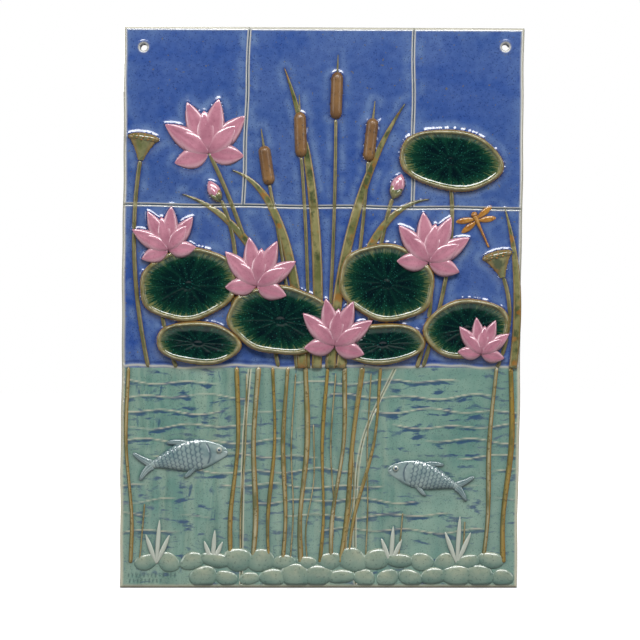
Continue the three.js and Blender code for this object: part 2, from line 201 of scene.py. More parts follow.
def makeRawDisc(around, ringShares):  # a disc of radius 1 with an edge wall down to -1
    startFresh()
    bpy.ops.mesh.primitive_circle_add(vertices=around, radius=1, fill_type="NGON", location=(0, 0, -1))
    disc = bpy.context.active_object
    bpy.ops.object.transform_apply(location=True)
    bpy.ops.object.mode_set(mode="EDIT")
    bpy.ops.mesh.select_all(action="SELECT")
    bpy.ops.mesh.extrude_region_move(TRANSFORM_OT_translate={"value": (0, 0, 1)})
    before = 1
    for share in ringShares:
        bpy.ops.mesh.inset(thickness=0.0001)
        bpy.ops.transform.resize(value=(share / before, share / before, 1), center_override=(0, 0, 0))
        before = share
    bpy.ops.mesh.poke()
    bpy.ops.object.mode_set(mode="OBJECT")
    places = placesOf(disc)
    reach = np.hypot(places[:, 0], places[:, 1])
    steps = np.array([1, *ringShares, 0])
    nearest = steps[np.abs(reach[:, None] - steps[None, :]).argmin(axis=1)]
    angle = np.round(np.arctan2(places[:, 1], places[:, 0]) * around / (2 * math.pi)) * 2 * math.pi / around
    setPlaces(disc, np.stack([nearest * np.cos(angle), nearest * np.sin(angle), places[:, 2]], axis=1))
    return disc


rimRings = [1 - 0.012 * k for k in range(1, 14)]
innerRings = [0.82 - 0.03 * k for k in range(26)]
rawDisc = makeRawDisc(180, rimRings + innerRings)
rawStem = makeRawRod(14, 80)
rawBlade = makeRawRod(20, 90)
rawHead = makeRawRod(36, 48)
rawBody = makeRawRod(84, 170)
rawPetal = makeRawBall(32, 24)
rawDot = makeRawBall(14, 8)
rawStone = makeRawBall(24, 12)
rawForms = [rawDisc, rawStem, rawBlade, rawHead, rawBody, rawPetal, rawDot, rawStone]
print("raw forms ready")


def bow(start, bend, end):
    a, b, c = (np.array(point) for point in (start, bend, end))

    def at(share):
        t = share[:, None]
        return (1 - t) ** 2 * a + 2 * t * (1 - t) * b + t * t * c

    return at


def through(points):  # a smooth line through the points
    line = np.array(points)
    line = np.vstack([2 * line[0] - line[1], line, 2 * line[-1] - line[-2]])

    def at(share):
        place = np.clip(share, 0, 1) * (len(line) - 3)
        first = np.minimum(place.astype(int), len(line) - 4)
        f = (place - first)[:, None]
        a, b, c, d = (line[first + k] for k in range(4))
        curve = 2 * b + (c - a) * f + (2 * a - 5 * b + 4 * c - d) * f**2
        return 0.5 * (curve + (3 * b - a - 3 * c + d) * f**3)

    return at


keying = 1.5 * mm  # how deep each form is pressed into the slab


def layRod(raw, name, path, half, rise, level=0, roundEnds=0.0, section=1.0, carve=None):
    piece = copyOf(raw, name)
    places = placesOf(piece)
    share = places[:, 2]
    sideways = places[:, 0]
    upward = places[:, 1]
    step = 1e-3
    centre = path(share)
    along = path(np.minimum(share + step, 1)) - path(np.maximum(share - step, 0))
    along /= np.linalg.norm(along, axis=1)[:, None]
    ends = np.ones_like(share)
    if roundEnds:
        nearEnd = np.clip(np.minimum(share, 1 - share) / roundEnds, 0, 1)
        ends = np.sqrt(np.clip(1 - (1 - nearEnd) ** 2, 0.002, 1))
    side = sideways * half(share) * ends
    crown = np.abs(upward) ** section
    lift = np.where(upward > 0, level + crown * rise(share) * ends, upward * keying)
    if carve:
        lift = lift + carve(share, sideways, upward)
    layOnFace(piece, centre[:, 0] + along[:, 1] * side, centre[:, 1] - along[:, 0] * side, lift)
    note(piece, along=share, edge=np.abs(sideways), rib=sideways)
    return piece


def layAlmond(raw, name, foot, length, halfWidth, rise, turn, level=0, fullest=0.0, point=0.75, carve=None):
    piece = copyOf(raw, name)
    places = placesOf(piece)
    share = np.clip((places[:, 2] + 1) / 2, 0, 1)
    ring = np.hypot(places[:, 0], places[:, 1])
    sideways = np.where(ring > 1e-6, places[:, 0] / np.maximum(ring, 1e-6), 0)
    upward = np.where(ring > 1e-6, places[:, 1] / np.maximum(ring, 1e-6), 0)
    outline = np.sin(np.pi * share ** (1 - fullest)) ** point
    outline = np.where(ring < 1e-6, 0, outline)
    body = np.sqrt(np.clip(np.sin(np.pi * share**0.9), 0, 1))
    crown = np.clip(1 - np.abs(sideways) ** 2.6, 0, 1)
    lift = np.where(upward > 0, level * crown**0.14 + rise * body * crown**0.5, upward * keying)
    if carve:
        lift = lift + carve(share, sideways, upward)
    dx, dv = turned(sideways * outline * halfWidth, share * length, turn)
    layOnFace(piece, foot[0] + dx, foot[1] + dv, lift)
    note(piece, along=share, edge=np.abs(sideways) * np.clip(outline * 3, 0, 1) ** 0.3, rib=sideways)
    return piece


# Node groups that the glazes share

def srgb(red, green, blue):
    parts = [c / 255 for c in (red, green, blue)]
    return tuple(c / 12.92 if c <= 0.04045 else ((c + 0.055) / 1.055) ** 2.4 for c in parts) + (1,)


def put(tree, kind, **settings):
    node = tree.nodes.new(kind)
    for name, value in settings.items():
        if hasattr(node, name):
            setattr(node, name, value)
        else:
            node.inputs[name.replace("_", " ")].default_value = value
    return node


def wire(tree, source, target):
    tree.links.new(source, target)


def objectPlace(tree):
    return put(tree, "ShaderNodeTexCoord").outputs["Object"]


def spanned(tree, source, fromMin, fromMax, toMin=0.0, toMax=1.0):
    node = put(tree, "ShaderNodeMapRange", clamp=True)
    for name, value in (("From Min", fromMin), ("From Max", fromMax), ("To Min", toMin), ("To Max", toMax)):
        if isinstance(value, (int, float)):
            node.inputs[name].default_value = value
        else:
            wire(tree, value, node.inputs[name])
    wire(tree, source, node.inputs["Value"])
    return node.outputs["Result"]


def worked(tree, operation, first, second=None):
    node = put(tree, "ShaderNodeMath", operation=operation)
    for i, value in enumerate((first, second)):
        if value is None:
            continue
        if isinstance(value, (int, float)):
            node.inputs[i].default_value = value
        else:
            wire(tree, value, node.inputs[i])
    return node.outputs["Value"]


def mixed(tree, mask, below, above):
    node = put(tree, "ShaderNodeMix", data_type="RGBA")
    for socket, value in ((node.inputs[0], mask), (node.inputs[6], below), (node.inputs[7], above)):
        if isinstance(value, (int, float, tuple)):
            socket.default_value = value
        else:
            wire(tree, value, socket)
    return node.outputs[2]


def veiled(tree, colour, mask, share, tint):  # the tint over the colour, at a share of the mask
    return mixed(tree, worked(tree, "MULTIPLY", mask, share), colour, tint)


def noted(tree, name, vector=False):
    node = put(tree, "ShaderNodeAttribute", attribute_name=name)
    return node.outputs["Vector" if vector else "Fac"]


def noise(tree, place, scale, detail=3.0, roughness=0.55, stretch=None):
    if stretch:
        mapping = put(tree, "ShaderNodeMapping", Scale=stretch)
        wire(tree, place, mapping.inputs["Vector"])
        place = mapping.outputs["Vector"]
    node = put(tree, "ShaderNodeTexNoise", Scale=scale, Detail=detail, Roughness=roughness)
    wire(tree, place, node.inputs["Vector"])
    return node.outputs["Fac"]


def swirled(tree, place, scale, reach):  # the same place, pushed about a little
    drift = put(tree, "ShaderNodeTexNoise", Scale=scale, Detail=2.0)
    wire(tree, place, drift.inputs["Vector"])
    moved = put(tree, "ShaderNodeVectorMath", operation="MULTIPLY_ADD")
    wire(tree, drift.outputs["Color"], moved.inputs[0])
    moved.inputs[1].default_value = (reach, reach, reach)
    wire(tree, place, moved.inputs[2])
    return moved.outputs["Vector"]


def newGroup(name, inputs, outputs):
    tree = bpy.data.node_groups.new(name, "ShaderNodeTree")
    for title, value in inputs:
        socket = tree.interface.new_socket(title, in_out="INPUT", socket_type="NodeSocketFloat")
        socket.default_value = value
    for title, kind in outputs:
        tree.interface.new_socket(title, in_out="OUTPUT", socket_type=kind)
    entry = tree.nodes.new("NodeGroupInput")
    leave = tree.nodes.new("NodeGroupOutput")
    return tree, entry, leave


def makeMottleGroup():  # clouds, grain and dark specks of a stoneware glaze
    outputs = [("Cloud", "NodeSocketFloat"), ("Grain", "NodeSocketFloat"), ("Speck", "NodeSocketFloat")]
    tree, entry, leave = newGroup("glazeMottle", [("Cloud Size", 14.0), ("Speck Size", 380.0)], outputs)
    place = objectPlace(tree)
    cloud = put(tree, "ShaderNodeTexNoise", Detail=4.0, Roughness=0.6)
    wire(tree, place, cloud.inputs["Vector"])
    wire(tree, entry.outputs["Cloud Size"], cloud.inputs["Scale"])
    grain = noise(tree, place, 160, 4)
    speck = put(tree, "ShaderNodeTexNoise", Detail=1.0)
    wire(tree, place, speck.inputs["Vector"])
    wire(tree, entry.outputs["Speck Size"], speck.inputs["Scale"])
    wire(tree, spanned(tree, cloud.outputs["Fac"], 0.34, 0.66), leave.inputs["Cloud"])
    wire(tree, spanned(tree, grain, 0.3, 0.7), leave.inputs["Grain"])
    wire(tree, spanned(tree, speck.outputs["Fac"], 0.6, 0.7), leave.inputs["Speck"])
    return tree


def makeSkinGroup():  # the slow waves and the fine orange peel of a thick glossy glaze
    tree, entry, leave = newGroup(
        "glazeSkin", [("Wave", 0.35), ("Peel", 0.12)], [("Normal", "NodeSocketVector")]
    )
    place = objectPlace(tree)
    waves = put(tree, "ShaderNodeBump", Distance=1.2 * mm)
    wire(tree, entry.outputs["Wave"], waves.inputs["Strength"])
    wire(tree, noise(tree, place, 70, 2), waves.inputs["Height"])
    peel = put(tree, "ShaderNodeBump", Distance=0.35 * mm)
    wire(tree, entry.outputs["Peel"], peel.inputs["Strength"])
    wire(tree, noise(tree, place, 420, 2), peel.inputs["Height"])
    wire(tree, waves.outputs["Normal"], peel.inputs["Normal"])
    wire(tree, peel.outputs["Normal"], leave.inputs["Normal"])
    return tree


mottleGroup = makeMottleGroup()
skinGroup = makeSkinGroup()


def useGroup(tree, group, **values):
    node = put(tree, "ShaderNodeGroup", node_tree=group)
    for name, value in values.items():
        node.inputs[name.replace("_", " ")].default_value = value
    return node


def newGlaze(name, roughness=0.2, coat=0.6, wave=0.35, peel=0.12):
    material = bpy.data.materials.new(name)
    material.use_nodes = True
    tree = material.node_tree
    shader = tree.nodes["Principled BSDF"]
    shader.inputs["Roughness"].default_value = roughness
    shader.inputs["Coat Weight"].default_value = coat
    shader.inputs["Coat Roughness"].default_value = 0.06
    skin = useGroup(tree, skinGroup, Wave=wave, Peel=peel)
    wire(tree, skin.outputs["Normal"], shader.inputs["Normal"])
    wire(tree, skin.outputs["Normal"], shader.inputs["Coat Normal"])
    return material, tree, shader


clayColour = srgb(196, 182, 158)


def overClay(tree, shader, colour):  # bare clay shows near the back, where the glaze stops
    place = objectPlace(tree)
    depth = put(tree, "ShaderNodeSeparateXYZ")
    wire(tree, place, depth.inputs["Vector"])
    ragged = worked(tree, "MULTIPLY", noise(tree, place, 60, 3), 4 * mm)
    line = worked(tree, "ADD", depth.outputs["Y"], ragged)
    bare = spanned(tree, line, -1.6 * mm, -0.9 * mm)
    clay = mixed(tree, noise(tree, place, 300, 5), clayColour, srgb(170, 154, 130))
    wire(tree, mixed(tree, bare, colour, clay), shader.inputs["Base Color"])
    for title, onClay in (("Roughness", 0.85), ("Coat Weight", 0)):
        socket = shader.inputs[title]
        wire(tree, spanned(tree, bare, 0, 1, socket.default_value, onClay), socket)


def makeBlueGlaze():
    material, tree, shader = newGlaze("blueGlaze", roughness=0.2, coat=0.9, wave=0.25)
    mottle = useGroup(tree, mottleGroup, Cloud_Size=15.0, Speck_Size=760.0)
    place = objectPlace(tree)
    broad = spanned(tree, noise(tree, place, 5, 3), 0.36, 0.64)
    colour = mixed(tree, broad, srgb(28, 67, 144), srgb(58, 86, 141))
    colour = veiled(tree, colour, mottle.outputs["Cloud"], 0.85, srgb(76, 100, 152))
    haze = spanned(tree, noise(tree, place, 36, 4), 0.42, 0.64)
    colour = veiled(tree, colour, haze, 0.4, srgb(82, 106, 156))
    colour = veiled(tree, colour, mottle.outputs["Grain"], 0.5, srgb(34, 60, 124))
    patchy = spanned(tree, noise(tree, place, 60, 3), 0.34, 0.66)
    colour = veiled(tree, colour, noted(tree, "halo"), patchy, srgb(92, 116, 158))
    colour = veiled(tree, colour, mottle.outputs["Speck"], 0.6, srgb(24, 42, 96))
    fleck = spanned(tree, noise(tree, place, 300, 1), 0.72, 0.76)
    colour = veiled(tree, colour, fleck, 0.7, srgb(104, 98, 62))
    colour = mixed(tree, noted(tree, "pool"), colour, srgb(24, 38, 92))
    colour = mixed(tree, noted(tree, "thin"), colour, srgb(190, 187, 170))
    colour = mixed(tree, noted(tree, "cut"), colour, srgb(66, 78, 50))
    overClay(tree, shader, colour)
    return material


def makeWaterGlaze():
    material, tree, shader = newGlaze("waterGlaze", roughness=0.2, coat=0.9, wave=0.25)
    mottle = useGroup(tree, mottleGroup, Cloud_Size=16.0, Speck_Size=760.0)
    place = objectPlace(tree)
    apart = put(tree, "ShaderNodeSeparateXYZ")
    wire(tree, place, apart.inputs["Vector"])
    place = swirled(tree, place, 40, 9 * mm)
    amongStems = spanned(tree, apart.outputs["X"], 50 * mm, 90 * mm, 1, 0)
    colour = mixed(tree, mottle.outputs["Cloud"], srgb(96, 134, 124), srgb(126, 156, 142))
    deep = spanned(tree, noise(tree, place, 1, 4, stretch=(100, 1, 10)), 0.46, 0.72)
    deep = worked(tree, "MULTIPLY", deep, spanned(tree, amongStems, 0, 1, 0.1, 0.8))
    colour = mixed(tree, deep, colour, srgb(60, 102, 94))
    smears = spanned(tree, noise(tree, place, 1, 3, stretch=(11, 1, 62)), 0.5, 0.68)
    colour = veiled(tree, colour, smears, 0.45, srgb(82, 118, 112))
    streaks = spanned(tree, noise(tree, place, 1, 4, stretch=(80, 1, 9)), 0.46, 0.74)
    streaks = worked(tree, "MULTIPLY", streaks, spanned(tree, amongStems, 0, 1, 0.15, 0.5))
    colour = mixed(tree, streaks, colour, srgb(160, 174, 152))
    upright = spanned(tree, noise(tree, place, 1, 3, stretch=(140, 1, 40)), 0.62, 0.7)
    upright = worked(tree, "MULTIPLY", upright, amongStems)
    colour = veiled(tree, colour, upright, 0.8, srgb(46, 76, 106))
    brushed = worked(tree, "ADD", noise(tree, place, 1, 3, stretch=(48, 1, 170)), noted(tree, "dab"))
    dabs = spanned(tree, brushed, 0.565, 0.65)
    colour = veiled(tree, colour, dabs, 0.9, srgb(42, 70, 106))
    blotches = spanned(tree, noise(tree, place, 1, 4, stretch=(58, 1, 70)), 0.62, 0.7)
    colour = veiled(tree, colour, blotches, 0.7, srgb(54, 82, 112))
    colour = veiled(tree, colour, noted(tree, "halo"), 0.25, srgb(134, 152, 138))
    colour = veiled(tree, colour, mottle.outputs["Speck"], 0.45, srgb(58, 76, 72))
    colour = veiled(tree, colour, noted(tree, "pool"), 0.8, srgb(58, 84, 82))
    colour = mixed(tree, noted(tree, "thin"), colour, srgb(196, 192, 168))
    # the scored lines' dark glaze, which also paints the shade along the bottom edge
    colour = mixed(tree, noted(tree, "cut"), colour, srgb(104, 98, 56))
    overClay(tree, shader, colour)
    return material


def makeLeafGlaze():
    material, tree, shader = newGlaze("leafGlaze", roughness=0.1, coat=1.0, wave=0.3, peel=0.12)
    mottle = useGroup(tree, mottleGroup, Cloud_Size=60.0, Speck_Size=420.0)
    spoke = noted(tree, "spoke", vector=True)
    feather = noise(tree, spoke, 1, 5, 0.7, stretch=(17, 17, 2.6))
    outward = worked(tree, "ADD", noted(tree, "reach"), spanned(tree, feather, 0.3, 0.7, -0.2, 0.2))
    colour = mixed(tree, mottle.outputs["Cloud"], srgb(1, 17, 24), srgb(3, 32, 30))
    colour = mixed(tree, spanned(tree, outward, 0.56, 0.86), colour, srgb(18, 62, 42))
    colour = mixed(tree, spanned(tree, outward, 0.79, 0.95), colour, srgb(112, 112, 70))
    colour = veiled(tree, colour, noted(tree, "vein"), 0.4, srgb(14, 60, 46))
    place = objectPlace(tree)
    crystals = spanned(tree, noise(tree, place, 640, 1), 0.64, 0.71)
    colour = veiled(tree, colour, crystals, 0.5, srgb(44, 118, 104))
    rimGrain = noise(tree, place, 130, 3)
    rim = mixed(tree, spanned(tree, rimGrain, 0.35, 0.65), srgb(140, 130, 90), srgb(102, 98, 60))
    rim = mixed(tree, noted(tree, "lip"), rim, srgb(134, 98, 46))
    colour = mixed(tree, noted(tree, "rim"), colour, rim)
    wire(tree, colour, shader.inputs["Base Color"])
    return material


def makePetalGlaze():
    material, tree, shader = newGlaze("petalGlaze", roughness=0.16, coat=1.0, wave=0.2)
    mottle = useGroup(tree, mottleGroup, Cloud_Size=70.0, Speck_Size=600.0)
    colour = mixed(tree, mottle.outputs["Cloud"], srgb(160, 104, 121), srgb(182, 124, 140))
    # painted shade: darker towards each petal's foot, where the petals crowd together
    petalFootShade = spanned(tree, noted(tree, "along"), 0.0, 0.42, 0.6, 0)
    colour = mixed(tree, petalFootShade, colour, srgb(138, 78, 100))
    pale = spanned(tree, noted(tree, "edge"), 0.42, 0.72)
    colour = veiled(tree, colour, pale, 0.5, srgb(206, 164, 174))
    # dark edge of each petal: partly the glaze's own darker edge, partly painted shade where petals overlap and
    # meet the leaf
    low = spanned(tree, noted(tree, "edge"), 0.8, 0.97)
    colour = veiled(tree, colour, low, 0.85, srgb(98, 62, 82))
    colour = veiled(tree, colour, mottle.outputs["Speck"], 0.3, srgb(130, 70, 92))
    wire(tree, colour, shader.inputs["Base Color"])
    return material


def makeReedGlaze():
    material, tree, shader = newGlaze("reedGlaze", roughness=0.22, coat=0.8)
    mottle = useGroup(tree, mottleGroup, Cloud_Size=42.0, Speck_Size=420.0)
    place = objectPlace(tree)
    colour = mixed(tree, mottle.outputs["Cloud"], srgb(88, 94, 54), srgb(138, 132, 90))
    patches = spanned(tree, noise(tree, place, 95, 4), 0.48, 0.62)
    colour = veiled(tree, colour, patches, 0.8, srgb(44, 62, 38))
    rust = spanned(tree, noise(tree, place, 70, 2), 0.58, 0.67)
    colour = veiled(tree, colour, rust, 0.65, srgb(152, 96, 36))
    edges = spanned(tree, noted(tree, "edge"), 0.45, 0.85)
    colour = veiled(tree, colour, edges, 0.7, srgb(140, 110, 56))
    colour = veiled(tree, colour, noted(tree, "thin"), 0.8, srgb(182, 176, 138))
    colour = mixed(tree, noted(tree, "cut"), colour, srgb(84, 78, 40))
    wire(tree, colour, shader.inputs["Base Color"])
    return material


def makeStemGlaze():
    material, tree, shader = newGlaze("stemGlaze", roughness=0.24, coat=0.8)
    mottle = useGroup(tree, mottleGroup, Cloud_Size=50.0, Speck_Size=420.0)
    colour = mixed(tree, mottle.outputs["Cloud"], srgb(96, 94, 54), srgb(132, 122, 84))
    colour = veiled(tree, colour, mottle.outputs["Grain"], 0.6, srgb(58, 68, 42))
    edges = spanned(tree, noted(tree, "edge"), 0.5, 0.9)
    colour = veiled(tree, colour, edges, 0.6, srgb(128, 98, 48))
    colour = veiled(tree, colour, noted(tree, "thin"), 0.8, srgb(182, 176, 138))
    colour = mixed(tree, noted(tree, "cut"), colour, srgb(84, 78, 40))
    wire(tree, colour, shader.inputs["Base Color"])
    return material


def makeCoilGlaze():  # the stems under water: pale along the crown, ochre where the glaze gathers beside it
    material, tree, shader = newGlaze("coilGlaze", roughness=0.24, coat=0.8)
    mottle = useGroup(tree, mottleGroup, Cloud_Size=38.0, Speck_Size=420.0)
    colour = mixed(tree, mottle.outputs["Cloud"], srgb(128, 124, 88), srgb(166, 158, 128))
    colour = mixed(tree, noted(tree, "tint"), colour, srgb(142, 118, 48))
    place = objectPlace(tree)
    olive = spanned(tree, noise(tree, place, 1, 3, stretch=(60, 1, 34)), 0.5, 0.62)
    colour = veiled(tree, colour, olive, 0.75, srgb(78, 84, 46))
    edges = spanned(tree, noted(tree, "edge"), 0.25, 0.65)
    ochre = mixed(tree, spanned(tree, noted(tree, "rib"), -0.4, 0.4), srgb(132, 100, 34), srgb(84, 86, 46))
    colour = veiled(tree, colour, edges, 0.9, ochre)
    colour = veiled(tree, colour, mottle.outputs["Speck"], 0.7, srgb(84, 68, 34))
    wire(tree, colour, shader.inputs["Base Color"])
    return material


def makeGoldGlaze():
    material, tree, shader = newGlaze("goldGlaze", roughness=0.2, coat=0.6)
    mottle = useGroup(tree, mottleGroup, Cloud_Size=160.0, Speck_Size=500.0)
    colour = mixed(tree, mottle.outputs["Cloud"], srgb(140, 88, 30), srgb(176, 128, 56))
    colour = mixed(tree, spanned(tree, noted(tree, "edge"), 0.75, 1.0), colour, srgb(84, 52, 22))
    wire(tree, colour, shader.inputs["Base Color"])
    return material


def makeReedHeadGlaze():
    material, tree, shader = newGlaze("reedHeadGlaze", roughness=0.4, coat=0.25, peel=0.9)
    mottle = useGroup(tree, mottleGroup, Cloud_Size=80.0, Speck_Size=340.0)
    colour = mixed(tree, mottle.outputs["Cloud"], srgb(104, 72, 38), srgb(140, 104, 58))
    colour = veiled(tree, colour, mottle.outputs["Grain"], 0.5, srgb(76, 50, 28))
    colour = veiled(tree, colour, mottle.outputs["Speck"], 0.7, srgb(56, 40, 26))
    wire(tree, colour, shader.inputs["Base Color"])
    return material


def makePaleGlaze():
    material, tree, shader = newGlaze("paleGlaze", roughness=0.12, coat=1.0, wave=0.3)
    mottle = useGroup(tree, mottleGroup, Cloud_Size=60.0, Speck_Size=600.0)
    colour = mixed(tree, mottle.outputs["Cloud"], srgb(104, 128, 130), srgb(150, 166, 162))
    colour = mixed(tree, noted(tree, "light"), colour, srgb(176, 182, 170))
    colour = mixed(tree, spanned(tree, noted(tree, "edge"), 0.75, 1.0), colour, srgb(80, 108, 108))
    colour = mixed(tree, noted(tree, "pool"), colour, srgb(50, 74, 90))
    wire(tree, colour, shader.inputs["Base Color"])
    return material


def makePebbleGlaze():
    material, tree, shader = newGlaze("pebbleGlaze", roughness=0.22, coat=0.8)
    mottle = useGroup(tree, mottleGroup, Cloud_Size=40.0, Speck_Size=420.0)
    colour = mixed(tree, mottle.outputs["Cloud"], srgb(92, 124, 114), srgb(118, 144, 130))
    # cream where the glaze runs thin over each pebble's crown, and a painted highlight on its upper side
    crownPaleAndLit = spanned(tree, mottle.outputs["Grain"], 0, 1, 0.4, 0.85)
    colour = veiled(tree, colour, noted(tree, "thin"), crownPaleAndLit, srgb(172, 170, 146))
    colour = veiled(tree, colour, mottle.outputs["Speck"], 0.4, srgb(66, 82, 74))
    wire(tree, colour, shader.inputs["Base Color"])
    return material


glazes = {
    "blue": makeBlueGlaze(),
    "water": makeWaterGlaze(),
    "leaf": makeLeafGlaze(),
    "petal": makePetalGlaze(),
    "reed": makeReedGlaze(),
    "stem": makeStemGlaze(),
    "coil": makeCoilGlaze(),
    "head": makeReedHeadGlaze(),
    "gold": makeGoldGlaze(),
    "pale": makePaleGlaze(),
    "pebble": makePebbleGlaze(),
}
print("glazes mixed")


def dress(parts, glaze):
    for part in parts:
        part.data.materials.clear()
        part.data.materials.append(glazes[glaze])
    return parts


# Leaves: a raised rim, a dished blade and forked veins from the navel

leafStyle = {
    "rimWidth": 5 * mm,
    "rimRise": 5.5 * mm,
    "wallRise": 2.4 * mm,
    "dishRise": 3 * mm,
    "navelRise": 3.5 * mm,
    "layerRise": 1.5 * mm,
    "veins": 13,
    "veinRise": 0.05 * mm,
    "veinWidth": 1.1 * mm,
    "forkFrom": 0.5,
    "forkSpread": 0.24,
    "lobeShare": 0.022,
    "navelDip": 0.4 * mm,
    "navelRing": 0.15 * mm,
    "meniscusRise": 1.8 * mm,  # glaze that climbs the inside of the rim
    "meniscusReach": 2.6 * mm,
    "wobble": 0.3 * mm,
}
leaves = {
    "leaf_high": {"x": 31.5, "up": 60.5, "wide": 53, "high": 31, "turn": -8, "lobes": 5, "layer": 0},
    "leaf_left": {"x": -34, "up": 24, "wide": 50, "high": 37, "turn": 10, "lobes": 6, "layer": 0},
    "leaf_middle": {"x": -11, "up": 13.5, "wide": 54, "high": 35, "turn": -6, "lobes": 7, "layer": 1},
    "leaf_right": {"x": 15.5, "up": 24.5, "wide": 49, "high": 39, "turn": -12, "lobes": 6, "layer": 0},
    "leaf_far_right": {"x": 35.5, "up": 11, "wide": 44, "high": 30, "turn": 8, "lobes": 5, "layer": 0},
    "leaf_low_left": {"x": -31.5, "up": 6.8, "wide": 43, "high": 22, "turn": -4, "lobes": 5, "layer": 1},
    "leaf_low_right": {"x": 14.5, "up": 6.5, "wide": 43, "high": 21, "turn": 4, "lobes": 5, "layer": 1},
}


def makeLeaf(name, plan):
    style = leafStyle
    piece = copyOf(rawDisc, name)
    places = placesOf(piece)
    reach = np.hypot(places[:, 0], places[:, 1])
    angle = np.arctan2(places[:, 1], places[:, 0])
    onFace = places[:, 2] > -0.5
    lobed = reach * (1 + style["lobeShare"] * reach * np.cos(plan["lobes"] * angle + plan["x"]))
    wide, tall = plan["wide"] * mm, plan["high"] * mm
    localRadius = np.hypot(wide * np.cos(angle), tall * np.sin(angle))
    fromEdge = (1 - reach) * localRadius
    base = plan["layer"] * style["layerRise"]

    # the raised rim, then the dish with its navel
    overRim = np.clip(fromEdge / style["rimWidth"], 0, 1)
    foot = lerp(style["wallRise"], style["dishRise"], overRim)
    bead = np.sin(np.pi * overRim) ** 0.7 * (style["rimRise"] - style["dishRise"])
    dish = (style["navelRise"] - style["dishRise"]) * (1 - reach) ** 1.4
    dish = dish - style["navelDip"] * bell(reach, 0.05) + style["navelRing"] * bell(reach - 0.11, 0.04)
    gap = 2 * math.pi / style["veins"]
    offset = (angle + plan["x"] + gap / 2) % gap - gap / 2
    fork = style["forkSpread"] * np.clip(reach - style["forkFrom"], 0, 1)
    besideVein = np.abs(np.abs(offset) - fork) * reach * localRadius
    vein = bell(besideVein, style["veinWidth"]) * blendStep(0.1, 0.2, reach)
    vein = vein * (1 - blendStep(0.8 * style["rimWidth"], 0.0, fromEdge))
    fromRim = np.clip(fromEdge - 0.9 * style["rimWidth"], 0, 1)
    meniscus = style["meniscusRise"] * np.exp(-fromRim / style["meniscusReach"]) * overRim
    wobble = style["wobble"] * np.sin(3 * angle + plan["up"]) * reach**2
    lift = base + foot + bead + dish + meniscus + style["veinRise"] * vein + wobble
    lift = np.where(onFace, lift, -keying)

    centre = inSky(plan["x"], plan["up"])
    dx, dv = turned(wide * lobed * np.cos(angle), tall * lobed * np.sin(angle), plan["turn"])
    layOnFace(piece, centre[0] + dx, centre[1] + dv, lift)
    rim = 1 - blendStep(0.8 * style["rimWidth"], 1.15 * style["rimWidth"], fromEdge)
    lip = 1 - blendStep(0.1 * style["rimWidth"], 0.42 * style["rimWidth"], fromEdge)
    spoke = np.stack([np.cos(angle), np.sin(angle), reach], axis=1)
    note(piece, reach=reach, rim=rim, lip=lip, vein=vein, spoke=spoke)
    return piece


for name, plan in leaves.items():
    leaf = joinAs(name, dress([makeLeaf(name, plan)], "leaf"))
    finishPiece(leaf)
print("leaves laid")


# Blossoms: two fans of petals seen from the side

petalStyle = {
    "halfWidthShare": 0.21,
    "backRise": 3.8 * mm,
    "frontRise": 5.0 * mm,
    "crease": 0.9 * mm,
    "stagger": 0.8 * mm,
}
blossoms = {
    "blossom_high": {"x": -29, "up": 62.5, "size": 54, "turn": 6, "spread": 100, "level": 0},
    "blossom_left": {"x": -39, "up": 34, "size": 43, "turn": 12, "spread": 96, "level": 3.6},
    "blossom_inner": {"x": -17, "up": 23.5, "size": 48, "turn": -8, "spread": 100, "level": 4.5},
    "blossom_low": {"x": 2.5, "up": 5.9, "size": 47, "turn": -6, "spread": 100, "level": 4.7},
    "blossom_right": {"x": 26, "up": 30.5, "size": 49, "turn": -10, "spread": 98, "level": 3.6},
    "blossom_corner": {"x": 39, "up": 3.5, "size": 36, "turn": -8, "spread": 92, "level": 4.5},
}


def makePetal(name, foot, size, length, rise, angle, plan, raised):
    def crease(share, sideways, upward):
        line = bell(sideways, 0.16) * blendStep(0.12, 0.4, share) * (1 - blendStep(0.72, 0.95, share))
        lip = 0.3 * mm * bell(np.abs(sideways) - 0.72, 0.14) * blendStep(0.3, 0.6, share)
        return onFront(upward, lip - petalStyle["crease"] * line)

    return layAlmond(
        rawPetal,
        name,
        foot,
        length,
        petalStyle["halfWidthShare"] * size,
        rise,
        plan["turn"] + angle,
        level=plan["level"] * mm + raised,
        fullest=0.12,
        point=0.8,
        carve=crease,
    )


def makeBlossom(name, plan):
    size = plan["size"] * mm
    foot = inSky(plan["x"], plan["up"])
    spread = plan["spread"]
    fans = [
        {"count": 4, "reach": 0.5 * spread, "length": size, "rise": petalStyle["backRise"], "lower": 0.06},
        {"count": 5, "reach": spread, "length": 0.8 * size, "rise": petalStyle["frontRise"], "lower": 0.0},
    ]
    petals = []
    for fan in fans:
        for i in range(fan["count"]):
            angle = lerp(-fan["reach"], fan["reach"], i / (fan["count"] - 1))
            shorter = 1 - 0.18 * abs(angle / spread) + fan["lower"]
            rise = fan["rise"] * (1 - 0.2 * abs(angle / spread))
            raised = petalStyle["stagger"] * (i % 2)
            petals.append(makePetal(name, foot, size, fan["length"] * shorter, rise, angle, plan, raised))
    return dress(petals, "petal")


for name, plan in blossoms.items():
    blossom = joinAs(name, makeBlossom(name, plan))
    finishPiece(blossom)
print("blossoms laid")


# Stems, blades and reeds above the waterline

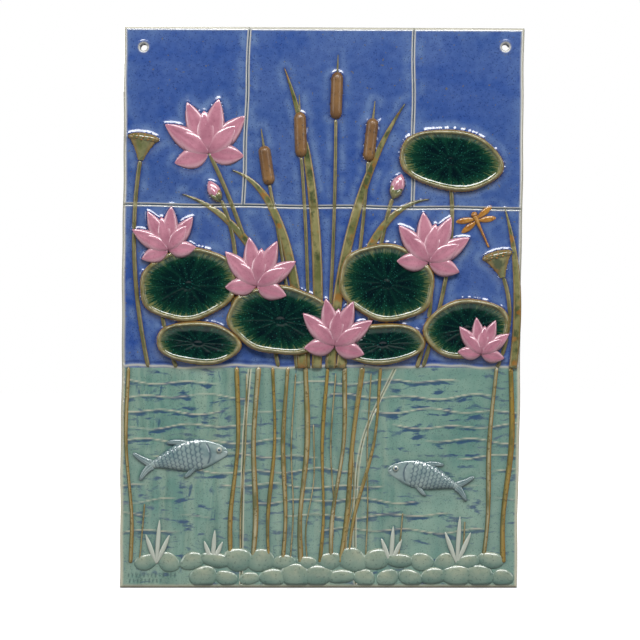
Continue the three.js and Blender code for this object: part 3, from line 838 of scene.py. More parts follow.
stemRadius = 2.3 * mm
stems = [
    [(-11.5, -0.6), (-17.5, 35.5), (-29, 63)],
    [(-37, -0.6), (-43, 17.5), (-40, 34)],
    [(24.5, -0.6), (33.5, 32.5), (31.5, 53)],
    [(23, -0.6), (28, 17.5), (26, 30)],
    [(10, -0.6), (12.5, 33), (17, 49.5)],
    [(-23, 17.5), (-20.5, 35.5), (-26, 49)],
    [(43, -0.6), (48.5, 14), (44.5, 26.5)],
    [(-44, -0.6), (-50, 32.5), (-46, 61)],
]
blades = [
    {"path": [(-5.5, -0.6), (-7.5, 52), (-23, 57.5)], "wide": 4.6},
    {"path": [(-2, -0.6), (0, 56), (-10, 87.5)], "wide": 4.8},
    {"path": [(1.5, -0.6), (4.5, 50), (20, 77)], "wide": 4.8},
    {"path": [(4, -0.6), (8.5, 47), (26, 49)], "wide": 4.4},
    {"path": [(-8, 8.8), (-17.5, 44), (-35.5, 50.5)], "wide": 4.2},
    {"path": [(47, -0.6), (50, 26.5), (45, 46.5)], "wide": 3.8},
]
bladeRise = 3.4 * mm


def steady(value):
    return lambda share: np.full_like(share, value)


stemParts = []
for points in stems:
    path = bow(*(inSky(*point) for point in points))
    stemParts.append(layRod(rawStem, "stem", path, steady(stemRadius), steady(stemRadius), roundEnds=0.02))
finishPiece(joinAs("flower_stems", dress(stemParts, "stem")))


def bladeCurve(share):
    return bladeRise * (1 - 0.5 * share)


def bladeRibs(share, sideways, upward):
    return onFront(upward, 0.35 * mm * np.cos(sideways * 9) * (1 - share))


bladeParts = []
for blade in blades:
    path = bow(*(inSky(*point) for point in blade["path"]))
    wide = blade["wide"] * mm

    def half(share, wide=wide):
        return wide * (1 - share**3) + 0.5 * mm

    bladeParts.append(layRod(rawBlade, "blade", path, half, bladeCurve, section=0.8, carve=bladeRibs))
finishPiece(joinAs("reed_blades", dress(bladeParts, "reed")))

reedStyle = {"radius": 6.2 * mm, "spike": 17 * mm}
reeds = [
    {"root": -4, "head": (-6, 68), "length": 46},
    {"root": 0.5, "head": (3, 79.5), "length": 48},
    {"root": 5, "head": (11.5, 66.5), "length": 44},
    {"root": -7, "head": (-14.5, 59), "length": 40},
]
stalks = []
heads = []
for reed in reeds:
    foot = np.array(inSky(reed["root"], -0.6))
    middle = np.array(inSky(*reed["head"]))
    lean = (middle - foot) / np.linalg.norm(middle - foot)
    lowEnd = middle - lean * reed["length"] * mm / 2
    highEnd = middle + lean * reed["length"] * mm / 2
    bend = inSky((reed["root"] + reed["head"][0]) / 2 + 1, reed["head"][1] / 2)
    stalks.append(layRod(rawStem, "stalk", bow(foot, bend, lowEnd), steady(1.9 * mm), steady(2.1 * mm)))
    tip = bow(highEnd - lean * 3 * mm, highEnd + lean * 6 * mm, highEnd + lean * reedStyle["spike"])
    stalks.append(
        layRod(rawStem, "spike", tip, lambda s: lerp(1.6, 0.5, s) * mm, lambda s: lerp(2, 0.7, s) * mm)
    )
    swell = steady(reedStyle["radius"])
    heads.append(layRod(rawHead, "head", bow(lowEnd, middle, highEnd), swell, swell, roundEnds=0.16))
finishPiece(joinAs("reed_stalks", dress(stalks, "stem")))
finishPiece(joinAs("reed_heads", dress(heads, "head")))
print("reeds laid")


# Buds and seed pods

buds = [{"x": 17, "up": 49, "length": 27, "turn": -20}, {"x": -26, "up": 48, "length": 25, "turn": 28}]
budRise = 6 * mm
budParts = []
for bud in buds:
    foot = inSky(bud["x"], bud["up"])
    length = bud["length"] * mm
    tips = [layAlmond(rawPetal, "bud", foot, length, 0.27 * length, budRise, bud["turn"], fullest=-0.1)]
    innerRise = budRise + 1 * mm
    tips.append(layAlmond(rawPetal, "bud", foot, 0.92 * length, 0.16 * length, innerRise, bud["turn"] + 4))
    budParts += dress(tips, "petal")
    sepals = []
    for lean in (-19, 0, 19):
        sepal = layAlmond(
            rawPetal, "sepal", foot, 0.6 * length, 0.13 * length, budRise + 1.2 * mm, bud["turn"] + lean,
            fullest=-0.1,
        )
        sepals.append(sepal)
    budParts += dress(sepals, "reed")
finishPiece(joinAs("buds", budParts))

podRise = 6 * mm
pods = [{"x": 44.5, "up": 26, "size": 15, "turn": 14}, {"x": -46, "up": 60.5, "size": 15, "turn": -8}]


def podCurve(share):
    return podRise * lerp(0.5, 1, share)


def podRibs(share, sideways, upward):
    return onFront(upward, 0.4 * mm * np.cos(sideways * 14) * share)


podParts = []
for pod in pods:
    foot = np.array(inSky(pod["x"], pod["up"]))
    size = pod["size"] * mm
    top = foot + np.array(turned(0, 1.5 * size, pod["turn"]))

    def flare(share, size=size):
        return size * lerp(0.22, 1, share**1.3)

    cup = layRod(rawHead, "cup", bow(foot, (foot + top) / 2, top), flare, podCurve, carve=podRibs)
    podParts += dress([cup], "reed")
    lid = copyOf(rawPetal, "lid")
    ball = placesOf(lid)
    dx, dv = turned(ball[:, 0] * size * 1.08, ball[:, 2] * 0.36 * size, pod["turn"])
    lift = np.maximum(-ball[:, 1], -0.2) * 1.2 * podRise
    lift -= 0.5 * mm * (1 - blendStep(0.75, 0.95, np.hypot(ball[:, 0], ball[:, 2])))
    layOnFace(lid, top[0] + dx, top[1] + dv, lift)
    note(lid, along=(ball[:, 2] + 1) / 2, edge=np.hypot(ball[:, 0], ball[:, 2]), rib=ball[:, 0])
    podParts += dress([lid], "stem")
    seeds = []
    for ring, count in ((0.0, 1), (0.5, 6), (0.82, 10)):
        for k in range(count):
            angle = 2 * math.pi * (k + 0.3) / count
            seed = copyOf(rawDot, "seed")
            grain = placesOf(seed) * 1.1 * mm
            aside, above = math.cos(angle) * ring * size * 0.9, math.sin(angle) * ring * 0.3 * size
            dx, dv = turned(aside, above, pod["turn"])
            bulge = 1.2 * podRise * math.sqrt(1 - ring**2) - 0.3 * mm
            layOnFace(seed, top[0] + dx + grain[:, 0], top[1] + dv + 0.7 * grain[:, 2], bulge + grain[:, 1])
            note(seed, along=np.zeros(len(grain)), edge=np.zeros(len(grain)), rib=np.zeros(len(grain)))
            seeds.append(seed)
    podParts += dress(seeds, "gold")
finishPiece(joinAs("seed_pods", podParts))
print("buds and pods laid")


# Under water: thin coils, fish, weed

waterStemRadius = 1.7 * mm
waterStems = [
    (-49, -48.5), (-22, -23.5), (-16.5, -18), (-13, -14), (-9.2, -10.5), (-4.8, -6),
    (0.8, -1.2), (5, 1.5), (9.5, 3.8), (14, 5.8), (43, 39.5), (46.5, 44.5),
]
coils = []
for i, (topX, footX) in enumerate(waterStems):
    sway = 0.8 if i % 2 else -0.8
    points = [
        inWater(topX, 100),
        inWater(lerp(topX, footX, 0.3) + sway, 66),
        inWater(lerp(topX, footX, 0.75) - 0.5 * sway, 33),
        inWater(footX, 11),
    ]

    def thickness(share, i=i):
        return waterStemRadius * (1.1 + 0.25 * (i % 3) + 0.16 * np.sin(9 * share + i))

    coil = layRod(rawStem, "coil", through(points), thickness, steady(waterStemRadius), roundEnds=0.01)
    note(coil, tint=np.full(len(coil.data.vertices), 0.45 + 0.45 * math.sin(2.4 * i)))
    coils.append(coil)
shoots = [
    (-45, 38), (-19.5, 97), (-7.2, 97), (-2.8, 74), (2.8, 97), (7.2, 62), (11.6, 97), (19.5, 34), (35, 30),
]
for i, (shootX, reach) in enumerate(shoots):
    bend = 0.7 * math.sin(2.7 * i)
    points = [
        inWater(shootX, reach),
        inWater(shootX - 0.6 + bend, 0.66 * reach),
        inWater(shootX - 1.2 - bend, 0.36 * reach),
        inWater(shootX - 1.5, 10),
    ]
    thin = steady(0.9 * mm)
    coils.append(layRod(rawStem, "shoot", through(points), thin, steady(1.3 * mm), roundEnds=0.02))
finishPiece(joinAs("water_stems", dress(coils, "coil")))

fishRise = 5.4 * mm
fishes = {
    "fish_left": {"x": -35.5, "up": 58.5, "length": 92, "turn": 10, "heading": 1},
    "fish_right": {"x": 26, "up": 49.5, "length": 84, "turn": -14, "heading": -1},
}
scaleStyle = {"rows": 18, "columns": 3}


def makeFish(name, plan):
    length = plan["length"] * mm
    centre = inWater(plan["x"], plan["up"])
    heading = plan["heading"]

    def at(along, above):
        dx, dv = turned(heading * along * length, above * length, plan["turn"])
        return np.array([centre[0] + dx, centre[1] + dv])

    def girth(share):
        return length * (0.035 + 0.14 * np.sin(np.pi * share**1.35))

    def fullness(share):
        return fishRise * np.maximum(0.25, np.sin(np.pi * lerp(0.12, 1, share)))

    def scaleEdges(share, sideways):  # staggered rows, each scale with a round free edge towards the tail
        row = np.floor(share * scaleStyle["rows"])
        across = sideways * scaleStyle["columns"] + 0.5 * (row % 2)
        aside = across - np.floor(across) - 0.5
        behind = row + 1 - share * scaleStyle["rows"]
        onBody = blendStep(0.03, 0.08, share) * (1 - blendStep(0.72, 0.74, share))
        return bell(np.hypot(behind, 1.25 * aside) - 0.72, 0.16) * onBody

    def gillLine(share, sideways, wide):
        return bell(share - 0.74 - 0.06 * (1 - sideways**2), wide) * (np.abs(sideways) < 0.75)

    def modelled(share, sideways, upward):
        mouth = bell(share - 0.975, 0.02) * bell(sideways * heading + 0.15, 0.08)
        scales = -0.4 * mm * scaleEdges(share, sideways)
        return onFront(upward, scales - 0.9 * mm * np.maximum(gillLine(share, sideways, 0.009), mouth))

    spine = bow(at(-0.36, -0.02), at(0, 0.05), at(0.5, -0.02))
    body = layRod(rawBody, name, spine, girth, fullness, roundEnds=0.03, carve=modelled)
    share, sideways = placesOf(rawBody)[:, 2], placesOf(rawBody)[:, 0]
    note(body, pool=np.maximum(0.75 * scaleEdges(share, sideways), 0.8 * gillLine(share, sideways, 0.012)))
    parts = [body]
    finPlans = [
        [(-0.33, -0.01), (-0.42, 0.04), (-0.52, 0.15), 0.05],
        [(-0.33, -0.02), (-0.42, -0.05), (-0.5, -0.16), 0.05],
        [(0.12, 0.1), (0.0, 0.2), (-0.14, 0.19), 0.05],
        [(0.14, -0.08), (0.06, -0.18), (-0.02, -0.21), 0.04],
    ]

    def finRays(share, sideways, upward):
        return onFront(upward, 0.3 * mm * np.cos(sideways * 12))

    finRise = steady(0.45 * fishRise)
    for *points, wide in finPlans:
        path = bow(*(at(*point) for point in points))

        def finHalf(share, wide=wide):
            return length * wide * (1 - 0.6 * share)

        fin = layRod(rawBlade, "fin", path, finHalf, finRise, roundEnds=0.2, section=0.5, carve=finRays)
        note(fin, pool=0.5 * (1 - np.cos(placesOf(rawBlade)[:, 0] * 12)) * 0.6)
        parts.append(fin)
    spot = at(0.41, 0.02)
    for part, radius, lift, dark in (("iris", 2.9 * mm, 2.6 * mm, 0.0), ("pupil", 1.7 * mm, 3.6 * mm, 1.0)):
        eyeball = copyOf(rawDot, part)
        dot = placesOf(eyeball) * radius
        layOnFace(eyeball, spot[0] + dot[:, 0], spot[1] + dot[:, 2], lift - 0.6 * dot[:, 1])
        still = np.zeros(len(dot))
        note(eyeball, edge=still, pool=still + dark, light=still + 1)
        parts.append(eyeball)
    return dress(parts, "pale")


for name, plan in fishes.items():
    finishPiece(joinAs(name, makeFish(name, plan)))

bed = {"height": 32 * mm, "pebbleLength": 23 * mm, "pebbleRise": 3.2 * mm, "rows": 2}
weeds = [{"x": -42, "tall": 44}, {"x": -28, "tall": 34}, {"x": 16.5, "tall": 38}, {"x": 33, "tall": 48}]
sprigs = []
for weed in weeds:
    foot = (inWater(weed["x"], 0)[0], 0.75 * bed["height"])
    for i, lean in enumerate((-24, -4, 20)):
        length = weed["tall"] * mm * (1 if i % 2 else 0.72)
        sprig = layAlmond(rawPetal, "sprig", foot, length, 2.6 * mm, 2.4 * mm, lean, point=0.6)
        plain = np.zeros(len(sprig.data.vertices))
        note(sprig, pool=plain, light=plain + 1)
        sprigs.append(sprig)
finishPiece(joinAs("water_weed", dress(sprigs, "pale")))
print("fish and weed laid")


# The insect in the air

insect = {"x": 38.5, "up": 41.5, "turn": 24, "span": 42, "rise": 4.2}


def makeInsect():
    centre = inSky(insect["x"], insect["up"])
    half = insect["span"] / 2 * mm
    tallest = insect["rise"] * mm
    turn = insect["turn"]

    def at(sideways, along):
        dx, dv = turned(sideways * half, along * half, turn)
        return np.array([centre[0] + dx, centre[1] + dv])

    def rings(share, sideways, upward):
        return onFront(upward, -0.4 * mm * np.abs(np.sin(11 * share)) ** 8)

    def girth(share):
        return half * lerp(0.06, 0.16, share**3)

    def fullness(share):
        return tallest * lerp(0.5, 1, share)

    def cells(share, sideways, upward):
        return onFront(upward, 0.25 * mm * np.cos(sideways * 10) * np.cos(share * 30))

    tail = bow(at(0, -1.2), at(0, -0.3), at(0, 0.5))
    body = layRod(rawHead, "body", tail, girth, fullness, roundEnds=0.05, carve=rings)
    skull = layAlmond(rawPetal, "skull", at(0, 0.38), 0.3 * half, 0.17 * half, tallest, turn, point=0.5)
    parts = [body, skull]
    for side in (-1, 1):
        for alongBody, reach, lean in ((0.3, 1.0, 74), (0.2, 0.95, 104)):
            wing = layAlmond(
                rawPetal, "wing", at(0, alongBody), reach * half, 0.16 * half, 0.5 * tallest, turn + side * lean,
                fullest=-0.15, point=0.6, carve=cells,
            )
            parts.append(wing)
    return dress(parts, "gold")


finishPiece(joinAs("insect", makeInsect()))


# The bed of pebbles along the bottom

plainCorner = {"right": -140 * mm, "top": 20 * mm}  # no pebbles here, where the rows of strokes are
stones = []
room = slab["bottomWidth"] - 2 * slab["arris"] - bed["pebbleLength"]
rowStep = bed["height"] / bed["rows"]
for row in range(bed["rows"]):
    count = round(room / (0.98 * bed["pebbleLength"])) - row % 2
    for i in range(count + 1):
        ripple = math.sin(7.3 * i + 4.1 * row)
        x = slab["bottomShift"] + lerp(-room / 2, room / 2, (i + 0.5 * (row % 2)) / (count + row % 2))
        v = slab["arris"] + (row + 0.45) * rowStep + 1.6 * mm * ripple
        if x < plainCorner["right"] and v < plainCorner["top"]:
            continue
        size = bed["pebbleLength"] * (0.58 + 0.1 * ripple)
        squash = 0.7 + 0.16 * math.sin(4.7 * i + 2.9 * row)
        stone = copyOf(rawStone, "stone")
        ball = placesOf(stone)
        around = np.arctan2(ball[:, 2], ball[:, 0])
        bumpy = 1 + 0.07 * np.sin(2 * around + 2.3 * i + row) + 0.04 * np.sin(3 * around + 1.7 * i)
        lift = np.abs(ball[:, 1]) ** 1.1 * bed["pebbleRise"] * (0.85 + 0.2 * ripple)
        lift = np.where(ball[:, 1] < 0, lift, -ball[:, 1] * keying)
        turn = 14 * math.sin(3.1 * i + row)
        dx, dv = turned(ball[:, 0] * size * bumpy, ball[:, 2] * squash * size * bumpy, turn)
        inner = slab["arris"] - 0.5 * mm
        across = np.clip(x + dx, bottomLeft + inner, bottomRight - inner)
        layOnFace(stone, across, np.maximum(v + dv, inner), lift)
        # paler over the crown, where the glaze runs thin, and on the upper side as a painted highlight
        note(stone, thin=np.clip(-ball[:, 1] * 0.6 + ball[:, 2] * 0.6, 0, 1) ** 1.5)
        stones.append(stone)
finishPiece(joinAs("pebble_bed", dress(stones, "pebble")))
print("bed laid")

for raw in rawForms:
    bpy.data.objects.remove(raw)


# The slab itself, in three glazed fields that meet in the level scored line and under the waterline

score = {"depth": 1.0 * mm, "width": 0.6 * mm, "lip": 0.25 * mm, "lipAway": 1.9 * mm, "lipWidth": 1.0 * mm}
upperScores = [(-75.2 * mm, -81.3 * mm), (89.2 * mm, 88.2 * mm)]
waterScores = [(-74.6, -80.6, -82.6, -83.6), (71.4, 38.4, 30.4, 30.8)]
levelScore = {"fromTop": 178.5 * mm, "fall": 4.4 * mm}
hole = {"spacing": 362 * mm, "radius": 3.5 * mm, "rim": 1.6 * mm}
ledge = {"rise": 0.5 * mm, "width": 1.8 * mm, "wave": 1.2 * mm}
fillet = {
    "boldRise": 2.1 * mm,
    "boldReach": 3.0 * mm,
    "fineRise": 0.85 * mm,
    "fineReach": 1.4 * mm,
    "search": 15 * mm,  # how far off a figure is looked for
    "overhead": 1.5 * mm,  # a second look from in front of the face tells a low edge from a high one
    "lowEdge": 0.8,
    "nearBy": 4 * mm,
    "below": 0.4 * mm,  # how far the glaze stays under the figure's own front
    "least": 0.1 * mm,
}
ripple = {"rows": 11, "lowest": 26, "highest": 93, "depth": 0.55 * mm, "width": 0.9 * mm, "wave": 1.7 * mm}


def leftEdge(v):
    wave = slab["edgeWave"] * (np.sin(31 * v + 1) + 0.6 * np.sin(97 * v))
    return lerp(bottomLeft, -slab["topWidth"] / 2, v / panelHeight) + wave + slab["edgeInset"]


def rightEdge(v):
    wave = slab["edgeWave"] * (np.sin(27 * v) + 0.6 * np.sin(83 * v + 2))
    return lerp(bottomRight, slab["topWidth"] / 2, v / panelHeight) - wave - slab["edgeInset"]


def topEdge(x):
    return panelHeight - slab["topFall"] * (x / slab["topWidth"] + 0.5)


def levelLine(x):
    fall = levelScore["fall"] * (x / slab["topWidth"] + 0.5)
    return panelHeight - levelScore["fromTop"] - fall + 0.4 * mm * np.sin(60 * x)


def waterCurve(x):
    return slab["waterline"] + ledge["wave"] * np.sin(63 * x + 0.6) + 0.5 * mm * np.sin(190 * x)


def besideScores(x, v):  # distance to the nearest scored line
    level = levelLine(x)
    away = np.abs(v - level)
    for top, foot in upperScores:
        share = np.clip((panelHeight - v) / levelScore["fromTop"], 0, 1)
        line = lerp(top, foot, share) + 0.4 * mm * np.sin(80 * v)
        away = np.where(v > level - 0.5 * mm, np.minimum(away, np.abs(x - line)), away)
    fall = np.clip(1 - v / slab["waterline"], 0, 1)
    for places in waterScores:
        line = through([(place * mm, 0) for place in places])(fall)[:, 0]
        inPlay = (v < slab["waterline"] - 3 * mm) & (v > 4 * mm)
        away = np.where(inPlay, np.minimum(away, np.abs(x - line)), away)
    return away


def besideRipples(x, v):  # height above the nearest incised ripple, and how strongly it is drawn
    away = np.full_like(x, 1.0)
    strength = np.zeros_like(x)
    for row in range(ripple["rows"]):
        up = lerp(ripple["lowest"], ripple["highest"], row / (ripple["rows"] - 1))
        phase = 2.1 * row
        curve = up / 100 * slab["waterline"] + ripple["wave"] * np.sin(95 * x + phase)
        curve = curve + 0.8 * ripple["wave"] * np.sin(41 * x + 1.7 * phase)
        drawn = blendStep(-0.5, 0.1, np.sin(23 * x + 3.3 * phase) + 0.6 * np.sin(57 * x + phase))
        here = v - curve
        nearer = np.abs(here) < np.abs(away)
        away = np.where(nearer, here, away)
        strength = np.where(nearer, drawn, strength)
    return away, strength


strokes = {"fromX": -196 * mm, "toX": -146 * mm, "rows": (12.8 * mm, 7.2 * mm), "tall": 3.6 * mm, "count": 13}


def besideStrokes(x, v):  # two rows of short slanted marks
    away = np.full_like(x, 1.0)
    for row, middle in enumerate(strokes["rows"]):
        count = strokes["count"] - 4 * row
        for i in range(count):
            at = lerp(strokes["fromX"], strokes["toX"], (i + 0.3 * row) / strokes["count"])
            slant = 0.25 * math.sin(2.3 * i + row)
            tall = strokes["tall"] * (0.36 + 0.12 * math.sin(3.7 * i + 2 * row))
            along = np.clip(v - middle, -tall, tall)
            away = np.minimum(away, np.hypot(x - at - slant * along, v - middle - along))
    return away


def faceLift(x, v, fromBold, fromFine):
    left, right, top = leftEdge(v), rightEdge(v), topEdge(x)
    lift = slab["handWave"] * (np.sin(21 * x + 1) * np.sin(15 * v) + 0.5 * np.sin(53 * x + 29 * v))
    fromScore = besideScores(x, v)
    lip = score["lip"] * bell(fromScore - score["lipAway"], score["lipWidth"])
    lift += lip - score["depth"] * bell(fromScore, score["width"])
    boldFillet = fillet["boldRise"] * np.exp(-fromBold / fillet["boldReach"])
    lift += np.maximum(boldFillet, fillet["fineRise"] * np.exp(-fromFine / fillet["fineReach"]))
    fromWater = v - waterCurve(x)
    lift += ledge["rise"] * bell(fromWater, ledge["width"])
    fromRipple, drawn = besideRipples(x, v)
    crest = bell(fromRipple, ripple["width"]) * 0.35 * mm
    carved = bell(fromRipple + 1.3 * mm, 1.1 * mm) * ripple["depth"] - crest
    lift -= np.where(v < slab["waterline"] - 6 * mm, carved * drawn, 0)
    lift -= 0.7 * mm * bell(besideStrokes(x, v), 0.55 * mm)
    fromHole = np.hypot(np.abs(x) - hole["spacing"] / 2, v + bottomZ)
    mouth = np.clip((hole["radius"] + hole["rim"] - fromHole) / hole["rim"], 0, 1)
    lift += 0.6 * mm * bell(fromHole - hole["radius"] - 1.6 * hole["rim"], 1.4 * mm)
    lift -= hole["rim"] * (1 - np.sqrt(1 - mouth**2))
    fromEdge = np.minimum(np.minimum(x - left, right - x), np.minimum(v, top - v))
    over = np.clip(1 - fromEdge / slab["arris"], 0, 1)
    inside = 1 - over
    lift = lift * np.clip(inside * 1.6, 0, 1) - slab["arris"] * (1 - np.sqrt(np.clip(1 - over**2, 0, 1)))
    return lift, fromScore, fromHole, fromEdge, fromWater, fromRipple, drawn


def crowded(shares, count, stops):  # even shares, moved so that the grid's lines crowd round the stops
    fine = np.linspace(0, 1, 4001)
    density = np.ones_like(fine)
    for stop in stops:
        density += 1.2 * bell(fine - stop, 0.018)
    total = np.concatenate([[0], np.cumsum((density[1:] + density[:-1]) / 2)])
    lines = np.interp(np.linspace(0, total[-1], count + 1), total, fine)
    return np.interp(shares * count, np.arange(count + 1), lines)


def treeOf(figures):
    corners = []
    faces = []
    for figure in figures:
        start = len(corners)
        corners += [tuple(place) for place in placesOf(figure)]
        faces += [tuple(start + k for k in face.vertices) for face in figure.data.polygons]
    return BVHTree.FromPolygons(corners, faces)


uprightNames = ["flower_stems", "reed_blades", "reed_stalks"]
boldNames = [*leaves, *blossoms, "buds", "seed_pods", "reed_heads"]
fineNames = [*fishes, *uprightNames, "water_stems", "water_weed", "insect"]


tucked = {"within": 0.97, "height": 1.6 * mm}
pressed = {"above": 3.4 * mm, "gap": 0.6 * mm}


def tuckUnder(piece):  # what passes behind a leaf stays below its dish
    places = placesOf(piece)
    lift = -places[:, 1] - slab["thickness"]
    for plan in leaves.values():
        x, v = inSky(plan["x"], plan["up"])
        dx, dv = turned(places[:, 0] - x, places[:, 2] - bottomZ - v, -plan["turn"])
        behind = np.hypot(dx / (plan["wide"] * mm), dv / (plan["high"] * mm)) < tucked["within"]
        lift = np.where(behind, np.minimum(lift, tucked["height"]), lift)
    places[:, 1] = -slab["thickness"] - lift
    setPlaces(piece, places)


def frontOver(tree, x, z):  # the foremost point of the figures over this place on the face
    return tree.ray_cast((x, -40 * mm, z), (0, 1, 0), 40 * mm)[0]


def pressUnder(piece, tree):  # a petal laid over a leaf presses its rim down
    places = placesOf(piece)
    for i, (x, y, z) in enumerate(places):
        found = frontOver(tree, x, z)
        if found is not None and found.y < -slab["thickness"] - pressed["above"]:
            places[i, 1] = max(y, found.y + pressed["gap"])
    setPlaces(piece, places)


for name in uprightNames:
    tuckUnder(bpy.data.objects[name])
petalTree = treeOf(bpy.data.objects[name] for name in blossoms)
for name in leaves:
    pressUnder(bpy.data.objects[name], petalTree)
boldTree = treeOf(bpy.data.objects[name] for name in boldNames)
fineTree = treeOf(bpy.data.objects[name] for name in fineNames)


def besideFigures(x, v):  # distances to the nearest bold and the nearest fine figure
    reach = fillet["search"]
    rises = (fillet["boldRise"], fillet["fineRise"])
    reaches = (fillet["boldReach"], fillet["fineReach"])
    away = np.full((2, len(x)), reach)
    for i in range(len(x)):
        place = (x[i], -slab["thickness"], bottomZ + v[i])
        for k, tree in enumerate((boldTree, fineTree)):
            found = tree.find_nearest(place, reach)[3]
            if found is None:
                continue
            higher = tree.find_nearest((x[i], place[1] - fillet["overhead"], place[2]), reach)[3] or reach
            away[k, i] = higher + fillet["lowEdge"] * max(higher - found, 0)  # a low edge gathers less glaze
            front = frontOver(tree, x[i], place[2]) if found < fillet["nearBy"] else None
            if front is not None and front.y < -slab["thickness"]:  # stay below the figure's own front
                room = max(-slab["thickness"] - front.y - fillet["below"], fillet["least"])
                away[k, i] = max(away[k, i], reaches[k] * math.log(rises[k] / room))
    return away


def makeField(name, rows, lowEdge, highEdge, glaze):
    startFresh()
    columns = slab["columns"]
    bpy.ops.mesh.primitive_grid_add(x_subdivisions=columns, y_subdivisions=rows, size=2)
    field = bpy.context.active_object
    field.name = field.data.name = name
    places = placesOf(field)
    s = crowded((places[:, 0] + 1) / 2, columns, [0, 1, *slab["scoresAcross"]])
    t = crowded((places[:, 1] + 1) / 2, rows, [0, 1])
    v = lerp(lowEdge(s), highEdge(s), t)
    for _ in range(3):
        x = lerp(leftEdge(v), rightEdge(v), s)
        v = lerp(lowEdge(x), highEdge(x), t)
    layOnFace(field, x, v, faceLift(x, v, *besideFigures(x, v))[0])

    # close it: sides back to the wall, then the flat back
    bpy.ops.object.mode_set(mode="EDIT")
    bpy.ops.mesh.select_all(action="SELECT")
    bpy.ops.mesh.region_to_loop()
    for nearer in (0.86, 0.6, 0.4, 0):
        bpy.ops.mesh.extrude_edges_move()
        bpy.ops.transform.resize(value=(1, nearer, 1), center_override=(0, 0, 0))
    bpy.ops.mesh.edge_face_add()
    bpy.ops.mesh.select_all(action="SELECT")
    bpy.ops.mesh.normals_make_consistent(inside=False)
    bpy.ops.object.mode_set(mode="OBJECT")
    field.data.materials.append(glazes[glaze])
    return field


def drillHoles(field):
    for side in (-1, 1):
        startFresh()
        bpy.ops.mesh.primitive_cylinder_add(
            vertices=48, radius=hole["radius"], depth=60 * mm, location=(side * hole["spacing"] / 2, 0, 0),
            rotation=(math.radians(90), 0, 0),
        )
        drill = bpy.context.active_object
        startFresh()
        bpy.context.view_layer.objects.active = field
        cut = field.modifiers.new("hole", "BOOLEAN")
        cut.operation = "DIFFERENCE"
        cut.solver = "EXACT"
        cut.object = drill
        bpy.ops.object.modifier_apply(modifier=cut.name)
        bpy.data.objects.remove(drill)


def glazeField(field):  # where the glaze runs thin, pools, or pales beside the figures, and a painted shade along the bottom edge
    places = placesOf(field)
    x, v, y = places[:, 0], places[:, 2] - bottomZ, places[:, 1]
    front = y < -0.62 * slab["thickness"]
    fromBold, fromFine = besideFigures(x, v)
    away = np.minimum(fromBold, fromFine)
    _, fromScore, fromHole, fromEdge, fromWater, fromRipple, drawn = faceLift(x, v, fromBold, fromFine)
    inWaterField = v < slab["waterline"] - 6 * mm
    thin = 1 - blendStep(1.2 * mm, 4.6 * mm, fromEdge)
    thin = np.maximum(thin, 0.9 * bell(fromScore - 1.3 * mm, 0.6 * mm))
    thin = np.maximum(thin, 0.9 * bell(fromHole - hole["radius"] - 0.8 * mm, 1.1 * mm))
    thin = np.maximum(thin, 0.8 * bell(fromWater + 0.4 * mm, 1.2 * mm))
    thin = np.maximum(thin, np.where(inWaterField, 0.8 * drawn * bell(fromRipple, 0.5 * mm), 0))
    # the scored lines' dark glaze; the band along the bottom edge is painted shade under the panel
    cut = np.maximum(0.9 * bell(fromScore, 0.45 * mm), 0.75 * bell(v, 1.3 * mm))
    pool = np.exp(-away / (1.3 * mm))
    pool = np.maximum(pool, np.where(inWaterField, 0.5 * drawn * bell(fromRipple + 1.6 * mm, 1.1 * mm), 0))
    pool = np.maximum(pool, bell(besideStrokes(x, v), 0.7 * mm))
    pool = np.maximum(pool, 0.6 * bell(fromWater - 3.4 * mm, 1.4 * mm))
    pool = pool * (1 - cut)
    dab = np.where(inWaterField, 0.13 * drawn * bell(fromRipple + 2.2 * mm, 2.2 * mm), 0)
    halo = np.maximum(bell(away - 5 * mm, 4 * mm), bell(fromScore - 6 * mm, 5 * mm))
    halo = np.maximum(halo, np.exp(-np.clip(fromEdge, 0, 1) / (9 * mm)))
    marks = {"thin": thin, "cut": cut, "pool": pool, "halo": halo, "dab": dab}
    note(field, **{mark: np.where(front, amount, 0) for mark, amount in marks.items()})


def scoreAcross(piece):  # the scoring tool ran on over the stems and blades
    places = placesOf(piece)
    away = besideScores(places[:, 0], places[:, 2] - bottomZ)
    raised = places[:, 1] < -slab["thickness"] - 0.4 * mm
    places[:, 1] += np.where(raised, 0.8 * mm * bell(away, 1.1 * mm), 0)
    setPlaces(piece, places)
    note(piece, cut=0.8 * bell(away, 0.8 * mm), thin=0.7 * bell(away - 1.7 * mm, 0.8 * mm))


for name in uprightNames:
    scoreAcross(bpy.data.objects[name])


seam = slab["waterline"] - slab["seamDrop"]
fields = [
    (makeField("blue_field_high", slab["skyRows"], levelLine, topEdge, "blue"), "blue_glaze"),
    (makeField("blue_field_low", slab["skyRows"], steady(seam), levelLine, "blue"), "blue_glaze"),
    (makeField("water_field", slab["waterRows"], steady(0), steady(seam), "water"), "water_glaze"),
]
drillHoles(fields[0][0])
for field, slotName in fields:
    glazeField(field)
    startFresh()
    bpy.context.view_layer.objects.active = field
    field.select_set(True)
    bpy.ops.object.shade_smooth_by_angle(angle=math.radians(50))
    finishPiece(field)
print("slab made")


# Floor and lights; the paper and the room glow white only to the eye, so the glaze mirrors a dark room

studio = {
    "nearGlow": 0.44,
    "farGlow": 1.0,
    "glowFrom": 0.25,  # distances from the panel between which the paper brightens
    "glowTo": 0.8,
    "floorBounce": 0.03,
    "floorSeen": 0.8,
    "floorMirrored": 0.3,
    "roomGlow": 1.0,
    "roomBounce": 0.02,
}


def lightUp(tree, socket, seen, bounced):  # one value for the eye, another for the rays that light and mirror
    eyeRay = put(tree, "ShaderNodeLightPath").outputs["Is Camera Ray"]
    wire(tree, spanned(tree, eyeRay, 0, 1, bounced, seen), socket)


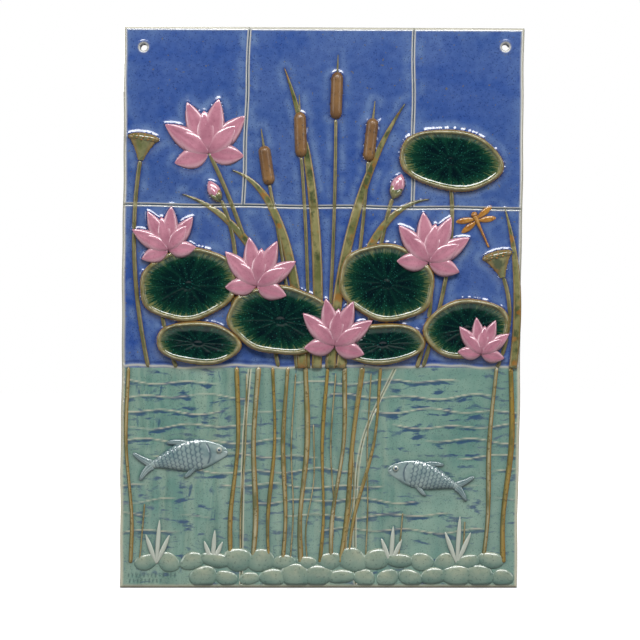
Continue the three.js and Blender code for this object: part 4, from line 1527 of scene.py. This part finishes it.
startFresh()
bpy.ops.mesh.primitive_plane_add(size=12, location=(0, 0, bottomZ - 0.5 * mm))
floor = bpy.context.active_object
floor.name = "floor"
paper = bpy.data.materials.new("floorPaper")
paper.use_nodes = True
paperShader = paper.node_tree.nodes["Principled BSDF"]
paperShader.inputs["Roughness"].default_value = 1
paperShader.inputs["Specular IOR Level"].default_value = 0
paperShader.inputs["Emission Color"].default_value = (1, 1, 1, 1)
paperTree = paper.node_tree
fromPanel = put(paperTree, "ShaderNodeVectorMath", operation="LENGTH")
wire(paperTree, objectPlace(paperTree), fromPanel.inputs[0])
distance = fromPanel.outputs["Value"]
glow = spanned(paperTree, distance, studio["glowFrom"], studio["glowTo"], studio["nearGlow"], studio["farGlow"])
lightUp(paperTree, paperShader.inputs["Emission Strength"], glow, studio["floorBounce"])
lightUp(paperTree, paperShader.inputs["Base Color"], studio["floorSeen"], studio["floorMirrored"])
floor.data.materials.append(paper)

lamps = {
    "topLight": {"place": (0.1, -1.7, 1.5), "size": (2.6, 0.72), "power": 77, "aim": (0, 0, -0.3)},
    "rightLight": {"place": (2.2, -1.3, 0.5), "size": (1.0, 1.4), "power": 16, "aim": (0, 0, -0.4)},
    "leftLight": {"place": (-2.2, -1.3, 0.5), "size": (1.0, 1.4), "power": 15, "aim": (0, 0, -0.4)},
    "wallLight": {"place": (-0.9, 1.5, 0.8), "size": (1.5, 1.5), "power": 30, "aim": (0, 0, -0.27)},
}
for name, lamp in lamps.items():
    startFresh()
    bpy.ops.object.light_add(type="AREA", location=lamp["place"])
    light = bpy.context.active_object
    light.name = name
    light.data.shape = "RECTANGLE"
    light.data.size, light.data.size_y = lamp["size"]
    light.data.energy = lamp["power"]
    light.visible_camera = False
    aim = [a - p for a, p in zip(lamp["aim"], lamp["place"])]
    flat = math.hypot(aim[0], aim[1])
    light.rotation_euler = (math.atan2(flat, -aim[2]), 0, math.atan2(-aim[0], aim[1]))

world = bpy.data.worlds.new("studio")
bpy.context.scene.world = world
world.use_nodes = True
room = world.node_tree.nodes["Background"]
room.inputs["Color"].default_value = (1, 1, 1, 1)
lightUp(world.node_tree, room.inputs["Strength"], studio["roomGlow"], studio["roomBounce"])
bpy.context.scene.view_settings.view_transform = "Standard"
print("studio lit")
